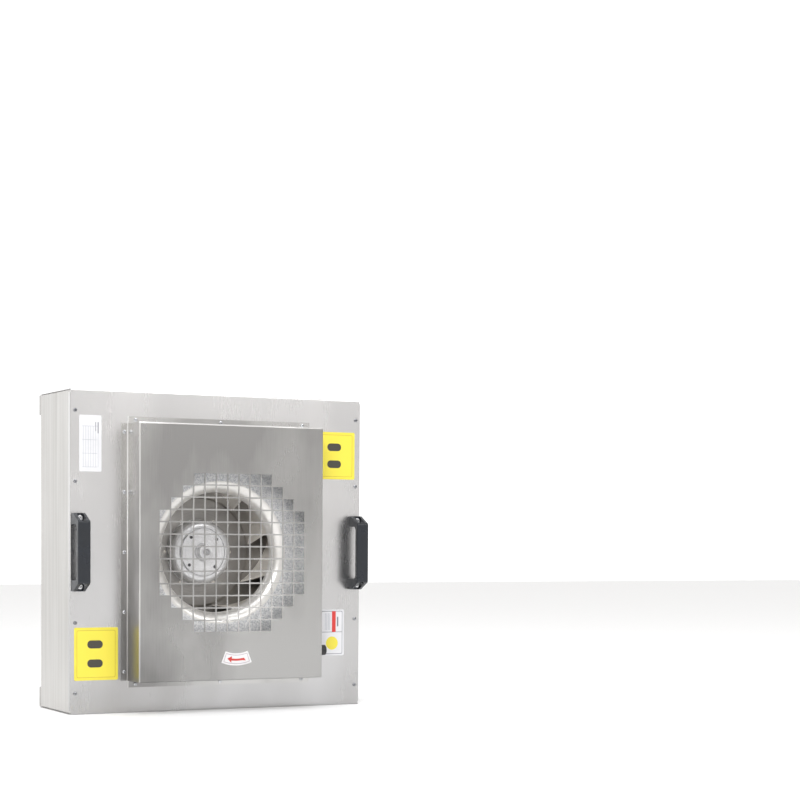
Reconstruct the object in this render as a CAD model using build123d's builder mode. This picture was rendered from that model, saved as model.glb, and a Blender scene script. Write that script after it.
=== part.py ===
from build123d import *
from math import cos, radians, sin, tan
import os

# Fan filter unit of the 575 mm class, standing on its lower edge.
# X runs to the right along the inlet face, Y from the inlet side to the outlet side, Z up.
# The origin is the middle of the bottom of the whole unit. All sizes are in millimetres.

# ---- driving dimensions --------------------------------------------------------------------

# Casing: one sheet folded into face, top and bottom, closed by two pans at the sides.
casing_width = 575
casing_height = 575
casing_depth = 165
casing_sheet = 1.2
fold_radius = 2.4            # outside radius of every fold in the casing and the cover
face_lip = 6                 # return of the inlet face over each side panel
lip_notch = 4                # corner notch between a lip and the top or bottom fold
panel_flange = 20            # inward flanges of the side panels
casing_screw_inset = 10      # from the side of the face
casing_screw_end_inset = 37.5  # outer screws; the inner ones stand halfway to the middle

# Guard cover: folded box over the inlet, with a stepped grid of square holes.
cover_width = 360
cover_height = 460
cover_rise = 60
cover_sheet = 1.2
cover_flange = 12
cover_screw_side_inset = 15  # corner screws of the top and bottom flange
cover_screw_end_inset = 16   # corner screws of the side flanges
grid_pitch = 22
grid_hole = 19.5
grid_reach = 6               # holes each way from the middle one
grid_diagonal = 9            # steps of the corners: columns plus rows from the middle

# Inlet plate with the drawn bellmouth.
inlet_sheet = 1.0
inlet_plate_width = 350
inlet_plate_height = 450
inlet_screw_side_inset = 25
inlet_screw_end_inset = 10
throat_radius = 110
bellmouth_radius = 20
bellmouth_collar = 6
face_hole_margin = 4         # casing hole outside the bellmouth's lip

# Impeller: shroud, backplate and backward-curved blades.
impeller_radius = 152
impeller_sheet = 1.5
impeller_length = 89.5       # shroud's inlet edge to the blade side of the backplate
nozzle_gap = 2               # bellmouth to shroud, radially
nozzle_overlap = 4
shroud_collar = 5
shroud_bend = 16
shroud_rake = 18             # degrees between the shroud's cone and the backplate
blade_count = 9
blade_first_angle = 8        # degrees above +X of the first blade's inner end
blade_inner_radius = 106
blade_eye_radius = 117       # where the leading edge meets the shroud
blade_outer_radius = 150
blade_wrap = 42              # degrees from inner to outer end
blade_inlet_angle = 24       # degrees from the tangent at the inner end
weld_gap = 0.05
dish_rise = 2                # pressed middle of the backplate
dish_radius = 104
dish_slope = 4
rotor_hole_gap = 1           # hole in the backplate round the rotor
rivet_circle_radius = 65.5
rivet_count = 6

# External rotor motor.
rotor_radius = 60.5
rotor_wall = 1.7
rotor_flange_radius = 70.5
rotor_flange = 1.5
rotor_length = 26            # flange to the front ring
rotor_shoulder = 12.5
groove_width = 3
groove_depth = 4
disc_radius = 43
disc_rise = 4                # disc stands proud of the ring
disc_sheet = 4               # front wall inside the groove
hub_radius = 17
hub_tip_radius = 12.5
hub_length = 14              # in front of the disc
hub_flange_radius = 40.5     # steel hub inside, screwed to the disc
hub_flange = 4
hub_tail_radius = 8.5        # also the bearings' inner rings
bearing_race_radius = 13.5   # inside of the bearings' outer rings
bearing_shield_depth = 0.8
circlip_radius = 9
circlip_groove_radius = 5.6
circlip_sheet = 1.2
circlip_gap = 5
rotor_screw_circle_radius = 36.5
rotor_screw_angle = 41
shaft_radius = 6
shaft_nose = 8               # in front of the hub
bearing_radius = 16
bearing_width = 10
bearing_spacer = 2
bearing_tube_radius = 20
bearing_tube_front_gap = 7   # hub flange to bearing tube
stator_radius = 44.5
stator_stack = 16
stator_slots = 12
slot_width = 6
slot_depth = 16
air_gap = 0.5
end_turn = 4.5
end_turn_gap = 0.5           # to the motor flange
winding_radius = 40
winding_eye = 26
rotor_stack = 14.5
motor_gap = 4                # rotor flange to motor flange
motor_flange_radius = 52
motor_flange = 3.5
motor_bolt_circle_radius = 40
motor_bolt_count = 4

# Motor bracket and filter seat.
bracket_sheet = 2
bracket_height = 110
bracket_lip = 8
bracket_lap = 12             # over the filter seat at each end
bracket_hole_radius = 17
bracket_rivet_rows = (-40, 40)
seat_width = 29
seat_rim = 12

# Filter in its mitred frame, with gasket and corner clips.
gasket_thickness = 6
gasket_width = 15
filter_gap = 3.6             # frame to the casing all round
filter_depth = 50
rail_sheet = 1.5
rail_flange = 16
media_sheet = 7              # measured along the depth, 0.4 square to the steep fold
media_inset = 2
pleat_count = 112
clip_sheet = 1.5
clip_height = 36
clip_end_gap = 0.3           # clip to the fold of the casing's top or bottom
clip_root = 25               # length inside the casing
clip_root_drop = 5           # root below the casing's corner
clip_foot = 30
clip_corner = 5
clip_screw_inset = 12

# Handles.
handle_spacing = 120
handle_lug = 9               # past the screw's axis at each end
handle_length = handle_spacing + 2 * handle_lug
handle_width = 23
handle_rise = 40
handle_bar = 10
handle_shoulder = 13         # height where the ends begin to slope
handle_slope = 14            # length taken off each end by the slope
handle_foot = 11             # from the screw's axis to the grip's gap
handle_gap_length = handle_spacing - 2 * handle_foot
handle_gap_corner = 8
handle_edge = 1.5
handle_inset = 13.5          # handle's middle from the side of the casing
handle_seat = 11             # screw head's seat above the face
handle_pocket_radius = 6

# Electrics in the cover.
wall_middle = 30             # knob and power inlet above the face
knob_height = -181           # from the fan's axis
knob_radius = 11
knob_length = 19
knob_skirt = 4
knob_flutes = 18
flute_radius = 1.2
knob_gap = 0.6
knob_recess_radius = 8
knob_recess = 3.5
control_shaft_radius = 3
control_shaft_grip = 12      # length inside the knob
bushing_radius = 4.5
bushing_length = 4.5         # from the wall's inner face outwards
controller_nut_radius = 7
controller_nut_height = 2
moulded_corner = 2
controller_side = 36
controller_depth = 18
inlet_height = -100
inlet_bezel = (31, 24)
inlet_bezel_rise = 3
inlet_body = (27, 20)
inlet_body_depth = 24
inlet_socket = (24.4, 16.6)
inlet_socket_corner = 5
inlet_socket_depth = 17
pin_size = (2, 4)
pin_length = 30
pin_recess = 3               # pin's tip behind the bezel's face
pin_places = ((-7, -2), (0, 2), (7, -2))
capacitor_radius = 15
capacitor_length = 65
capacitor_place = (-100, -188)
capacitor_clip_sheet = 1
capacitor_clip_width = 14
capacitor_clip_foot = 12

# Fasteners: head radius, head height, shank radius and length under the head.
sheet_screw = (3.5, 2.4, 1.75, 8)
short_screw = (3.5, 2.4, 1.75, 5)
rotor_screw = (3.0, 1.2, 2.0, 7)
clip_screw = (3.5, 2.4, 1.75, 4)
motor_bolt = (4.5, 3.5, 2.5, 5.5)
cap_screw = (5, 6, 3, 22)
cap_screw_socket = (2.9, 3)  # corner radius and depth
nut_radius = 5.77
nut_height = 5
rivet = (3.2, 1.4, 2.0)

# Clearances.
screw_clearance = 0.3        # radially, through the outer sheet
thread_clearance = 0.05      # radially, where a thread holds
press_clearance = 0.03       # bearing seats, shaft in its hub and bearings
cutout_clearance = 0.3
lay_clearance = 0.3          # a round piece lying on a flat one

# ---- places that follow --------------------------------------------------------------------

lip_radius = throat_radius + bellmouth_radius
nozzle_end = bellmouth_radius + bellmouth_collar - inlet_sheet
shroud_front = nozzle_end - nozzle_overlap
shroud_radius = throat_radius + inlet_sheet + nozzle_gap
shroud_bend_depth = shroud_front + shroud_collar
backplate_depth = shroud_front + impeller_length
rotor_flange_depth = backplate_depth - dish_rise + impeller_sheet
ring_depth = rotor_flange_depth - rotor_length
disc_depth = ring_depth - disc_rise
hub_tip_depth = disc_depth - hub_length
hub_flange_end = disc_depth + disc_sheet + hub_flange
tube_depth = hub_flange_end + bearing_tube_front_gap
rear_bearing_depth = tube_depth + bearing_width + bearing_spacer
motor_flange_depth = rotor_flange_depth + rotor_flange + motor_gap
bracket_depth = motor_flange_depth + motor_flange
seat_depth = bracket_depth + bracket_sheet
gasket_depth = seat_depth + casing_sheet
filter_front = gasket_depth + gasket_thickness
filter_rear = filter_front + filter_depth
clip_rear = filter_rear + clip_sheet
rear_reach = clip_rear + sheet_screw[1]

face_y = cover_rise - (cover_rise + rear_reach) / 2
centre_z = casing_height / 2
panel_outside = casing_width / 2 - casing_sheet
panel_inside = panel_outside - casing_sheet
pan_inside = casing_height / 2 - 2 * casing_sheet
cover_side = cover_width / 2
cover_end = cover_height / 2
filter_half_width = panel_inside - filter_gap
filter_half_height = pan_inside - filter_gap

face = Plane(origin=(0, face_y, centre_z), x_dir=(1, 0, 0), z_dir=(0, -1, 0))
side_section = Plane(origin=(0, face_y, centre_z), x_dir=(0, 1, 0), z_dir=(1, 0, 0))
fan_section = Plane(origin=(0, face_y, centre_z), x_dir=(1, 0, 0), z_dir=(0, 0, 1))
fan_axis = Axis((0, face_y, centre_z), (0, 1, 0))

casing_screw_row = casing_height / 2 - casing_screw_end_inset
casing_screw_points = [(side * (casing_width / 2 - casing_screw_inset), part * casing_screw_row)
                       for side in (-1, 1) for part in (-1, -1 / 2, 1 / 2, 1)]
flange_middle = cover_flange / 2
cover_screw_row = cover_end - cover_screw_end_inset
cover_screw_column = cover_side - cover_screw_side_inset
cover_screw_points = [(side * (cover_side + flange_middle), part * cover_screw_row)
                      for side in (-1, 1) for part in (-1, -1 / 2, 0, 1 / 2, 1)]
cover_screw_points += [(part * cover_screw_column, side * (cover_end + flange_middle))
                       for side in (-1, 1) for part in (-1, 0, 1)]
inlet_screw_row = inlet_plate_height / 2 - inlet_screw_end_inset
inlet_screw_column = inlet_plate_width / 2 - inlet_screw_side_inset
inlet_screw_points = [(part * inlet_screw_column, side * inlet_screw_row)
                      for side in (-1, 1) for part in (-1, -1 / 3, 1 / 3, 1)]
clip_foot_middle = capacitor_radius + lay_clearance + capacitor_clip_sheet + capacitor_clip_foot / 2
capacitor_screw_points = [(capacitor_place[0], capacitor_place[1] + side * clip_foot_middle)
                          for side in (-1, 1)]
handle_middle = casing_width / 2 - handle_inset
handle_screw_points = [(side * handle_middle, end * handle_spacing / 2)
                       for side in (-1, 1) for end in (-1, 1)]
rotor_screw_points = [(rotor_screw_circle_radius * cos(radians(rotor_screw_angle + turn)),
                       rotor_screw_circle_radius * sin(radians(rotor_screw_angle + turn)))
                      for turn in (0, 90, 180, 270)]
bracket_end = panel_inside - seat_width + bracket_lap
bracket_rivet_points = [(side * (bracket_end - bracket_lap / 2), row)
                        for side in (-1, 1) for row in bracket_rivet_rows]
clip_top = casing_height / 2 - casing_sheet - clip_end_gap
clip_middle = clip_top - clip_height / 2
clip_screw_points = [(side * (casing_width / 2 - clip_screw_inset), end * clip_middle)
                     for side in (-1, 1) for end in (-1, 1)]


def depth_plane(depth):
    """Plane parallel to the inlet face: local x is X, local y is Z, normal towards the inlet side."""
    return face.offset(-depth)


def pan_screw(size):
    """Screw along +Z with a domed head above the origin."""
    head_radius, head_height, shank_radius, length = size
    with BuildPart() as screw:
        with BuildSketch(Plane.XZ):
            with BuildLine():
                edge_height = head_height / 3
                TangentArc((0, head_height), (head_radius, edge_height), tangent=(1, 0))
                Polyline((head_radius, edge_height), (head_radius, 0), (shank_radius, 0),
                         (shank_radius, -length), (0, -length), (0, head_height))
            make_face()
        revolve(axis=Axis.Z)
    return screw.part


def domed_rivet(size, grip):
    """Rivet along +Z: domed head above the origin, flat closing head below the grip."""
    head_radius, head_height, shank_radius = size
    head_and_shank = pan_screw((head_radius, head_height, shank_radius, grip))
    with BuildPart() as piece:
        add(head_and_shank)
        with BuildSketch(Plane.XY.offset(-grip)):
            Circle((head_radius + shank_radius) / 2)
        extrude(amount=-head_height)
    return piece.part


def cut_holes(plane, points, radius, depth):
    """Cuts round holes from a plane down its normal into the part being built."""
    with BuildSketch(plane) as holes:
        with Locations(*points):
            Circle(radius)
    extrude(holes.sketch, amount=-depth, mode=Mode.SUBTRACT)


sheet_screw_shape = pan_screw(sheet_screw)
short_screw_shape = pan_screw(short_screw)
parts = {}


def keep(name, builder):
    """Labels a finished piece and keeps it for export."""
    builder.part.label = name
    parts[name] = builder.part


# ---- casing --------------------------------------------------------------------------------

screw_hole = sheet_screw[2] + screw_clearance
screw_thread = sheet_screw[2] + thread_clearance
cap_screw_hole = cap_screw[2] + screw_clearance

with BuildPart() as casing_wrap:
    with BuildSketch(side_section):
        with Locations((casing_depth / 2, 0)):
            Rectangle(casing_depth, casing_height)
        with Locations((casing_depth / 2 + casing_sheet, 0)):
            Rectangle(casing_depth, casing_height - 2 * casing_sheet, mode=Mode.SUBTRACT)
    extrude(amount=casing_width / 2, both=True)
    folds = casing_wrap.edges().filter_by(Axis.X).group_by(Axis.Y)
    fillet(folds[0], fold_radius)
    inner_folds = casing_wrap.edges().filter_by(Axis.X).filter_by_position(
        Axis.Y, face_y + casing_sheet / 2, face_y + casing_sheet * 1.5)
    fillet(inner_folds, fold_radius - casing_sheet)
    # corner notches, so that the lips can fold
    with BuildSketch(face):
        with GridLocations(casing_width - fold_radius, casing_height - lip_notch - fold_radius, 2, 2):
            Rectangle(fold_radius, lip_notch + fold_radius)
    extrude(amount=-fold_radius, mode=Mode.SUBTRACT)
    # lips over the side panels
    lip_height = casing_height - 2 * (lip_notch + fold_radius)
    with BuildSketch(face):
        with GridLocations(casing_width - casing_sheet, 0, 2, 1):
            Rectangle(casing_sheet, lip_height)
    extrude(amount=-face_lip)
    lip_folds = casing_wrap.edges().filter_by(Axis.Z).group_by(Axis.Y)[0]
    fillet(lip_folds.group_by(Axis.X)[0] + lip_folds.group_by(Axis.X)[-1], fold_radius)
    with BuildSketch(face):
        Circle(lip_radius + face_hole_margin)
    extrude(amount=-casing_sheet, mode=Mode.SUBTRACT)
    cut_holes(face, casing_screw_points, screw_hole, casing_sheet)
    cut_holes(face, cover_screw_points + inlet_screw_points + capacitor_screw_points,
              screw_thread, casing_sheet)
    cut_holes(face, handle_screw_points, cap_screw_hole, casing_sheet)
keep("casing_wrap", casing_wrap)

with BuildPart() as side_panel_right:
    pan_height = casing_height - 2 * casing_sheet
    with BuildSketch(depth_plane(casing_sheet)):
        with Locations((panel_outside - panel_flange / 2, 0)):
            Rectangle(panel_flange, pan_height)
    extrude(amount=casing_sheet - casing_depth)
    front_edges = side_panel_right.edges().group_by(Axis.Y)[0]
    outer_edges = (front_edges.filter_by(Axis.Z).sort_by(Axis.X)[-1:]
                   + front_edges.filter_by(Axis.X)
                   + side_panel_right.edges().filter_by(Axis.Y).group_by(Axis.X)[-1])
    fillet(outer_edges, fold_radius)
    with BuildSketch(depth_plane(2 * casing_sheet)):
        with Locations((panel_inside - panel_flange / 2, 0)):
            Rectangle(panel_flange, pan_height - 2 * casing_sheet)
    extrude(amount=-casing_depth, mode=Mode.SUBTRACT)
    cut_holes(depth_plane(casing_sheet), casing_screw_points, screw_thread, casing_sheet)
    cut_holes(depth_plane(casing_sheet), handle_screw_points, cap_screw_hole, casing_sheet)
keep("side_panel_right", side_panel_right)

with BuildPart() as side_panel_left:
    mirror(side_panel_right.part, about=Plane.YZ)
keep("side_panel_left", side_panel_left)

with BuildPart(face) as casing_screws:
    with Locations(*casing_screw_points):
        add(sheet_screw_shape)
keep("casing_screws", casing_screws)

# ---- inlet plate with its bellmouth --------------------------------------------------------

with BuildPart() as inlet_plate:
    with BuildSketch(face):
        Rectangle(inlet_plate_width, inlet_plate_height)
        Circle(lip_radius, mode=Mode.SUBTRACT)
        with Locations(*inlet_screw_points, *capacitor_screw_points):
            Circle(screw_hole, mode=Mode.SUBTRACT)
    extrude(amount=inlet_sheet)
    bellmouth_depth = bellmouth_radius - inlet_sheet
    with BuildSketch(fan_section):
        with BuildLine():
            bend_centre = (lip_radius, bellmouth_depth)
            CenterArc(bend_centre, bellmouth_radius, 180, 90)
            CenterArc(bend_centre, bellmouth_radius - inlet_sheet, 180, 90)
            Line((lip_radius, -inlet_sheet), (lip_radius, 0))
            Polyline((throat_radius, bellmouth_depth), (throat_radius, nozzle_end),
                     (throat_radius + inlet_sheet, nozzle_end),
                     (throat_radius + inlet_sheet, bellmouth_depth))
        make_face()
    revolve(axis=fan_axis)
keep("inlet_plate", inlet_plate)

with BuildPart(depth_plane(-inlet_sheet)) as inlet_plate_screws:
    with Locations(*inlet_screw_points):
        add(short_screw_shape)
keep("inlet_plate_screws", inlet_plate_screws)

# ---- guard cover ---------------------------------------------------------------------------

wall_plane = Plane(origin=(cover_side, face_y - wall_middle, centre_z),
                   x_dir=(0, 0, 1), z_dir=(1, 0, 0))

with BuildPart() as guard_cover:
    with BuildSketch(face):
        Rectangle(cover_width, cover_height)
    extrude(amount=cover_rise)
    front_edges = guard_cover.edges().group_by(Axis.Y)[0]
    fillet(front_edges, fold_radius)
    with BuildSketch(face):
        Rectangle(cover_width - 2 * cover_sheet, cover_height - 2 * cover_sheet)
    extrude(amount=cover_rise - cover_sheet, mode=Mode.SUBTRACT)
    with BuildSketch(face):
        with GridLocations(cover_width + cover_flange, 0, 2, 1):
            Rectangle(cover_flange, cover_height)
        with GridLocations(0, cover_height + cover_flange, 1, 2):
            Rectangle(cover_width, cover_flange)
        with Locations(*cover_screw_points):
            Circle(screw_hole, mode=Mode.SUBTRACT)
    extrude(amount=cover_sheet)
    grid_points = [(column * grid_pitch, row * grid_pitch)
                   for column in range(-grid_reach, grid_reach + 1)
                   for row in range(-grid_reach, grid_reach + 1)
                   if abs(column) + abs(row) <= grid_diagonal]
    with BuildSketch(depth_plane(-cover_rise)):
        with Locations(*grid_points):
            Rectangle(grid_hole, grid_hole)
    extrude(amount=-cover_sheet, mode=Mode.SUBTRACT)
    with BuildSketch(wall_plane):
        with Locations((knob_height, 0)):
            Circle(bushing_radius + thread_clearance)
        with Locations((inlet_height, 0)):
            Rectangle(inlet_body[0] + 2 * cutout_clearance, inlet_body[1] + 2 * cutout_clearance)
    extrude(amount=-cover_sheet, mode=Mode.SUBTRACT)
keep("guard_cover", guard_cover)

with BuildPart(depth_plane(-cover_sheet)) as guard_screws:
    with Locations(*cover_screw_points):
        add(sheet_screw_shape)
keep("guard_screws", guard_screws)

# ---- impeller ------------------------------------------------------------------------------


def shroud_line(bend):
    """Draws the shroud's profile in section for one radius of its bend, and gives its two ends."""
    centre = (shroud_radius + shroud_bend, shroud_bend_depth)
    rake = radians(shroud_rake)
    bend_end = (centre[0] - bend * sin(rake), centre[1] + bend * cos(rake))
    collar_end = (centre[0] - bend, shroud_front)
    rim = (impeller_radius, bend_end[1] + (impeller_radius - bend_end[0]) * tan(rake))
    Line(collar_end, (centre[0] - bend, shroud_bend_depth))
    CenterArc(centre, bend, 90 + shroud_rake, 90 - shroud_rake)
    Line(bend_end, rim)
    return collar_end, rim


def polar(radius, angle):
    """Point on the face's plane at an angle in degrees above +X."""
    return (radius * cos(radians(angle)), radius * sin(radians(angle)))


with BuildPart() as impeller_shroud:
    with BuildSketch(fan_section):
        with BuildLine():
            air_side = shroud_line(shroud_bend)
            back_side = shroud_line(shroud_bend - impeller_sheet)
            Line(air_side[0], back_side[0])
            Line(air_side[1], back_side[1])
        make_face()
    revolve(axis=fan_axis)
keep("impeller_shroud", impeller_shroud)

rivet_points = [polar(rivet_circle_radius, turn * 360 / rivet_count) for turn in range(rivet_count)]
backplate_rear = backplate_depth + impeller_sheet
rivet_hole = rivet[2] + thread_clearance

with BuildPart() as impeller_backplate:
    with BuildSketch(fan_section):
        with BuildLine():
            dish_front = backplate_depth - dish_rise
            Polyline((rotor_radius + rotor_hole_gap, dish_front), (dish_radius - dish_slope, dish_front),
                     (dish_radius, backplate_depth), (impeller_radius, backplate_depth),
                     (impeller_radius, backplate_rear), (dish_radius, backplate_rear),
                     (dish_radius - dish_slope, rotor_flange_depth),
                     (rotor_radius + rotor_hole_gap, rotor_flange_depth), close=True)
        make_face()
    revolve(axis=fan_axis)
    cut_holes(depth_plane(dish_front), rivet_points, rivet_hole, impeller_sheet)
keep("impeller_backplate", impeller_backplate)

# Blades: one curved sheet between shroud and backplate, repeated round the axis.
with BuildPart() as blade:
    inner_end = polar(blade_inner_radius, 0)
    outer_end = polar(blade_outer_radius, blade_wrap)
    with BuildSketch(depth_plane(shroud_bend_depth)):
        with BuildLine():
            TangentArc(inner_end, outer_end, tangent=polar(1, 90 - blade_inlet_angle))
        trace(line_width=impeller_sheet)
    extrude(amount=shroud_bend_depth - backplate_depth)
    with BuildSketch(fan_section):
        with BuildLine():
            inlet_end, rim_end = shroud_line(shroud_bend + weld_gap)
            Polyline(rim_end, (impeller_radius, backplate_depth - weld_gap),
                     (blade_inner_radius, backplate_depth - weld_gap), inlet_end)
        make_face()
        Polygon((blade_inner_radius, backplate_depth), (blade_eye_radius, shroud_bend_depth),
                (blade_outer_radius, shroud_bend_depth), (blade_outer_radius, backplate_depth),
                align=None, mode=Mode.INTERSECT)
    revolve(axis=fan_axis, mode=Mode.INTERSECT)

for number in range(blade_count):
    with BuildPart() as turned_blade:
        add(blade.part.rotate(fan_axis, -blade_first_angle - number * 360 / blade_count))
    keep(f"impeller_blade_{number + 1}", turned_blade)

impeller_rivet = domed_rivet(rivet, impeller_sheet + rotor_flange)
with BuildPart(depth_plane(dish_front)) as impeller_rivets:
    with Locations(*rivet_points):
        add(impeller_rivet)
keep("impeller_rivets", impeller_rivets)

# ---- external rotor motor ------------------------------------------------------------------

shaft_bore = shaft_radius + press_clearance
rotor_bore = rotor_radius - rotor_wall
ring_radius = rotor_radius - rotor_shoulder
groove_floor = ring_depth + groove_depth
groove_radius = disc_radius + groove_width
rotor_rear = rotor_flange_depth + rotor_flange
hub_flange_depth = disc_depth + disc_sheet
hub_recess = hub_flange_radius + lay_clearance
screw_tip = rotor_screw[2] + thread_clearance

with BuildPart() as rotor_housing:
    with BuildSketch(fan_section):
        with BuildLine():
            Polyline((shaft_bore, hub_flange_depth), (shaft_bore, hub_tip_depth),
                     (hub_tip_radius, hub_tip_depth), (hub_radius, disc_depth),
                     (disc_radius, disc_depth), (disc_radius, groove_floor),
                     (groove_radius, groove_floor), (groove_radius, ring_depth),
                     (ring_radius, ring_depth))
            CenterArc((ring_radius, ring_depth + rotor_shoulder), rotor_shoulder, 270, 90)
            Polyline((rotor_radius, ring_depth + rotor_shoulder), (rotor_radius, rotor_flange_depth),
                     (rotor_flange_radius, rotor_flange_depth), (rotor_flange_radius, rotor_rear),
                     (rotor_bore, rotor_rear), (rotor_bore, ring_depth + rotor_shoulder),
                     (rotor_bore - 2 * rotor_wall, groove_floor + rotor_wall),
                     (hub_recess, groove_floor + rotor_wall), (hub_recess, hub_flange_depth),
                     (shaft_bore, hub_flange_depth))
        make_face()
    revolve(axis=fan_axis)
    hub_edges = rotor_housing.edges().filter_by(GeomType.CIRCLE).group_by(Axis.Y)[0].sort_by(
        SortBy.RADIUS)[-1]
    fillet(hub_edges, 1)
    cut_holes(depth_plane(disc_depth), rotor_screw_points, screw_tip, disc_sheet)
    cut_holes(depth_plane(rotor_flange_depth), rivet_points, rivet_hole, rotor_flange)
keep("rotor_housing", rotor_housing)

with BuildPart() as rotor_hub:
    with BuildSketch(fan_section):
        with BuildLine():
            Polyline((shaft_bore, hub_flange_depth), (hub_flange_radius, hub_flange_depth),
                     (hub_flange_radius, hub_flange_end), (hub_tail_radius, hub_flange_end),
                     (hub_tail_radius, tube_depth), (shaft_bore, tube_depth), close=True)
        make_face()
    revolve(axis=fan_axis)
    cut_holes(depth_plane(hub_flange_depth), rotor_screw_points, screw_tip, hub_flange)
keep("rotor_hub", rotor_hub)

rotor_screw_shape = pan_screw(rotor_screw)
with BuildPart(depth_plane(disc_depth)) as rotor_screws:
    with Locations(*rotor_screw_points):
        add(rotor_screw_shape)
keep("rotor_screws", rotor_screws)

circlip_depth = rear_bearing_depth + bearing_width
with BuildPart() as rotor_shaft:
    with BuildSketch(depth_plane(hub_tip_depth - shaft_nose)):
        Circle(shaft_radius)
    extrude(amount=hub_tip_depth - shaft_nose - bracket_depth)
    chamfer(rotor_shaft.edges().filter_by(GeomType.CIRCLE), 0.8)
    with BuildSketch(depth_plane(circlip_depth)):
        Circle(shaft_radius)
        Circle(circlip_groove_radius, mode=Mode.SUBTRACT)
    extrude(amount=-circlip_sheet, mode=Mode.SUBTRACT)
keep("rotor_shaft", rotor_shaft)

with BuildPart() as shaft_circlip:
    with BuildSketch(depth_plane(circlip_depth)):
        Circle(circlip_radius)
        Circle(circlip_groove_radius + press_clearance, mode=Mode.SUBTRACT)
        with Locations((0, -circlip_radius)):
            Rectangle(circlip_gap, 2 * circlip_radius - circlip_groove_radius, mode=Mode.SUBTRACT)
    extrude(amount=-circlip_sheet)
keep("shaft_circlip", shaft_circlip)

for name, depth in (("bearing_front", tube_depth), ("bearing_rear", rear_bearing_depth)):
    with BuildPart() as bearing:
        with BuildSketch(fan_section):
            with BuildLine():
                shield = depth + bearing_shield_depth
                rear_shield = depth + bearing_width - bearing_shield_depth
                Polyline((shaft_bore, depth), (hub_tail_radius, depth), (hub_tail_radius, shield),
                         (bearing_race_radius, shield), (bearing_race_radius, depth),
                         (bearing_radius, depth), (bearing_radius, depth + bearing_width),
                         (bearing_race_radius, depth + bearing_width),
                         (bearing_race_radius, rear_shield), (hub_tail_radius, rear_shield),
                         (hub_tail_radius, depth + bearing_width),
                         (shaft_bore, depth + bearing_width), close=True)
            make_face()
        revolve(axis=fan_axis)
    keep(name, bearing)

bolt_points = [polar(motor_bolt_circle_radius, 45 + turn * 360 / motor_bolt_count)
               for turn in range(motor_bolt_count)]
bearing_seat = bearing_radius + press_clearance
bolt_thread = motor_bolt[2] + thread_clearance
with BuildPart() as motor_flange_piece:
    with BuildSketch(fan_section):
        with BuildLine():
            front_seat_end = tube_depth + bearing_width
            Polyline((bearing_seat, tube_depth), (bearing_tube_radius, tube_depth),
                     (bearing_tube_radius, motor_flange_depth),
                     (motor_flange_radius, motor_flange_depth), (motor_flange_radius, bracket_depth),
                     (bearing_seat, bracket_depth), (bearing_seat, rear_bearing_depth),
                     (bearing_race_radius, rear_bearing_depth), (bearing_race_radius, front_seat_end),
                     (bearing_seat, front_seat_end), close=True)
        make_face()
    revolve(axis=fan_axis)
    cut_holes(depth_plane(motor_flange_depth), bolt_points, bolt_thread, motor_flange)
keep("motor_flange", motor_flange_piece)

stator_depth = motor_flange_depth - end_turn_gap - end_turn - stator_stack
slot_middle = stator_radius - slot_depth / 2
with BuildPart() as stator_core:
    with BuildSketch(depth_plane(stator_depth)):
        Circle(stator_radius)
        Circle(bearing_tube_radius + thread_clearance, mode=Mode.SUBTRACT)
        with PolarLocations(slot_middle, stator_slots):
            Rectangle(slot_depth, slot_width, mode=Mode.SUBTRACT)
    extrude(amount=-stator_stack)
keep("stator_core", stator_core)

bar_inside = stator_radius - slot_depth + lay_clearance
bar_length = winding_radius - bar_inside
with BuildPart() as stator_winding:
    with BuildSketch(depth_plane(stator_depth - end_turn), depth_plane(stator_depth + stator_stack)):
        Circle(winding_radius)
        Circle(winding_eye, mode=Mode.SUBTRACT)
    extrude(amount=-end_turn)
    with BuildSketch(depth_plane(stator_depth)):
        with PolarLocations(bar_inside + bar_length / 2, stator_slots):
            Rectangle(bar_length, slot_width - 2 * lay_clearance)
    extrude(amount=-stator_stack)
keep("stator_winding", stator_winding)

with BuildPart() as rotor_core:
    with BuildSketch(depth_plane(ring_depth + rotor_shoulder)):
        Circle(rotor_bore - press_clearance)
        Circle(stator_radius + air_gap, mode=Mode.SUBTRACT)
    extrude(amount=-rotor_stack)
keep("rotor_core", rotor_core)

with BuildPart() as motor_bracket:
    with BuildSketch(depth_plane(bracket_depth)):
        Rectangle(2 * bracket_end, bracket_height)
        Circle(bracket_hole_radius, mode=Mode.SUBTRACT)
        with Locations(*bracket_rivet_points):
            Circle(rivet_hole, mode=Mode.SUBTRACT)
        with Locations(*bolt_points):
            Circle(motor_bolt[2] + screw_clearance, mode=Mode.SUBTRACT)
    extrude(amount=-bracket_sheet)
    with BuildSketch(depth_plane(bracket_depth)):
        with GridLocations(0, bracket_height - bracket_sheet, 1, 2):
            Rectangle(2 * (panel_inside - seat_width - lay_clearance), bracket_sheet)
    extrude(amount=-bracket_lip)
keep("motor_bracket", motor_bracket)

motor_bolt_shape = pan_screw(motor_bolt)
with BuildPart(Plane(origin=(0, face_y + seat_depth, centre_z), x_dir=(1, 0, 0),
                     z_dir=(0, 1, 0))) as motor_bolts:
    with Locations(*bolt_points):
        add(motor_bolt_shape)
keep("motor_bolts", motor_bolts)

# ---- filter seat and filter ----------------------------------------------------------------

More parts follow.
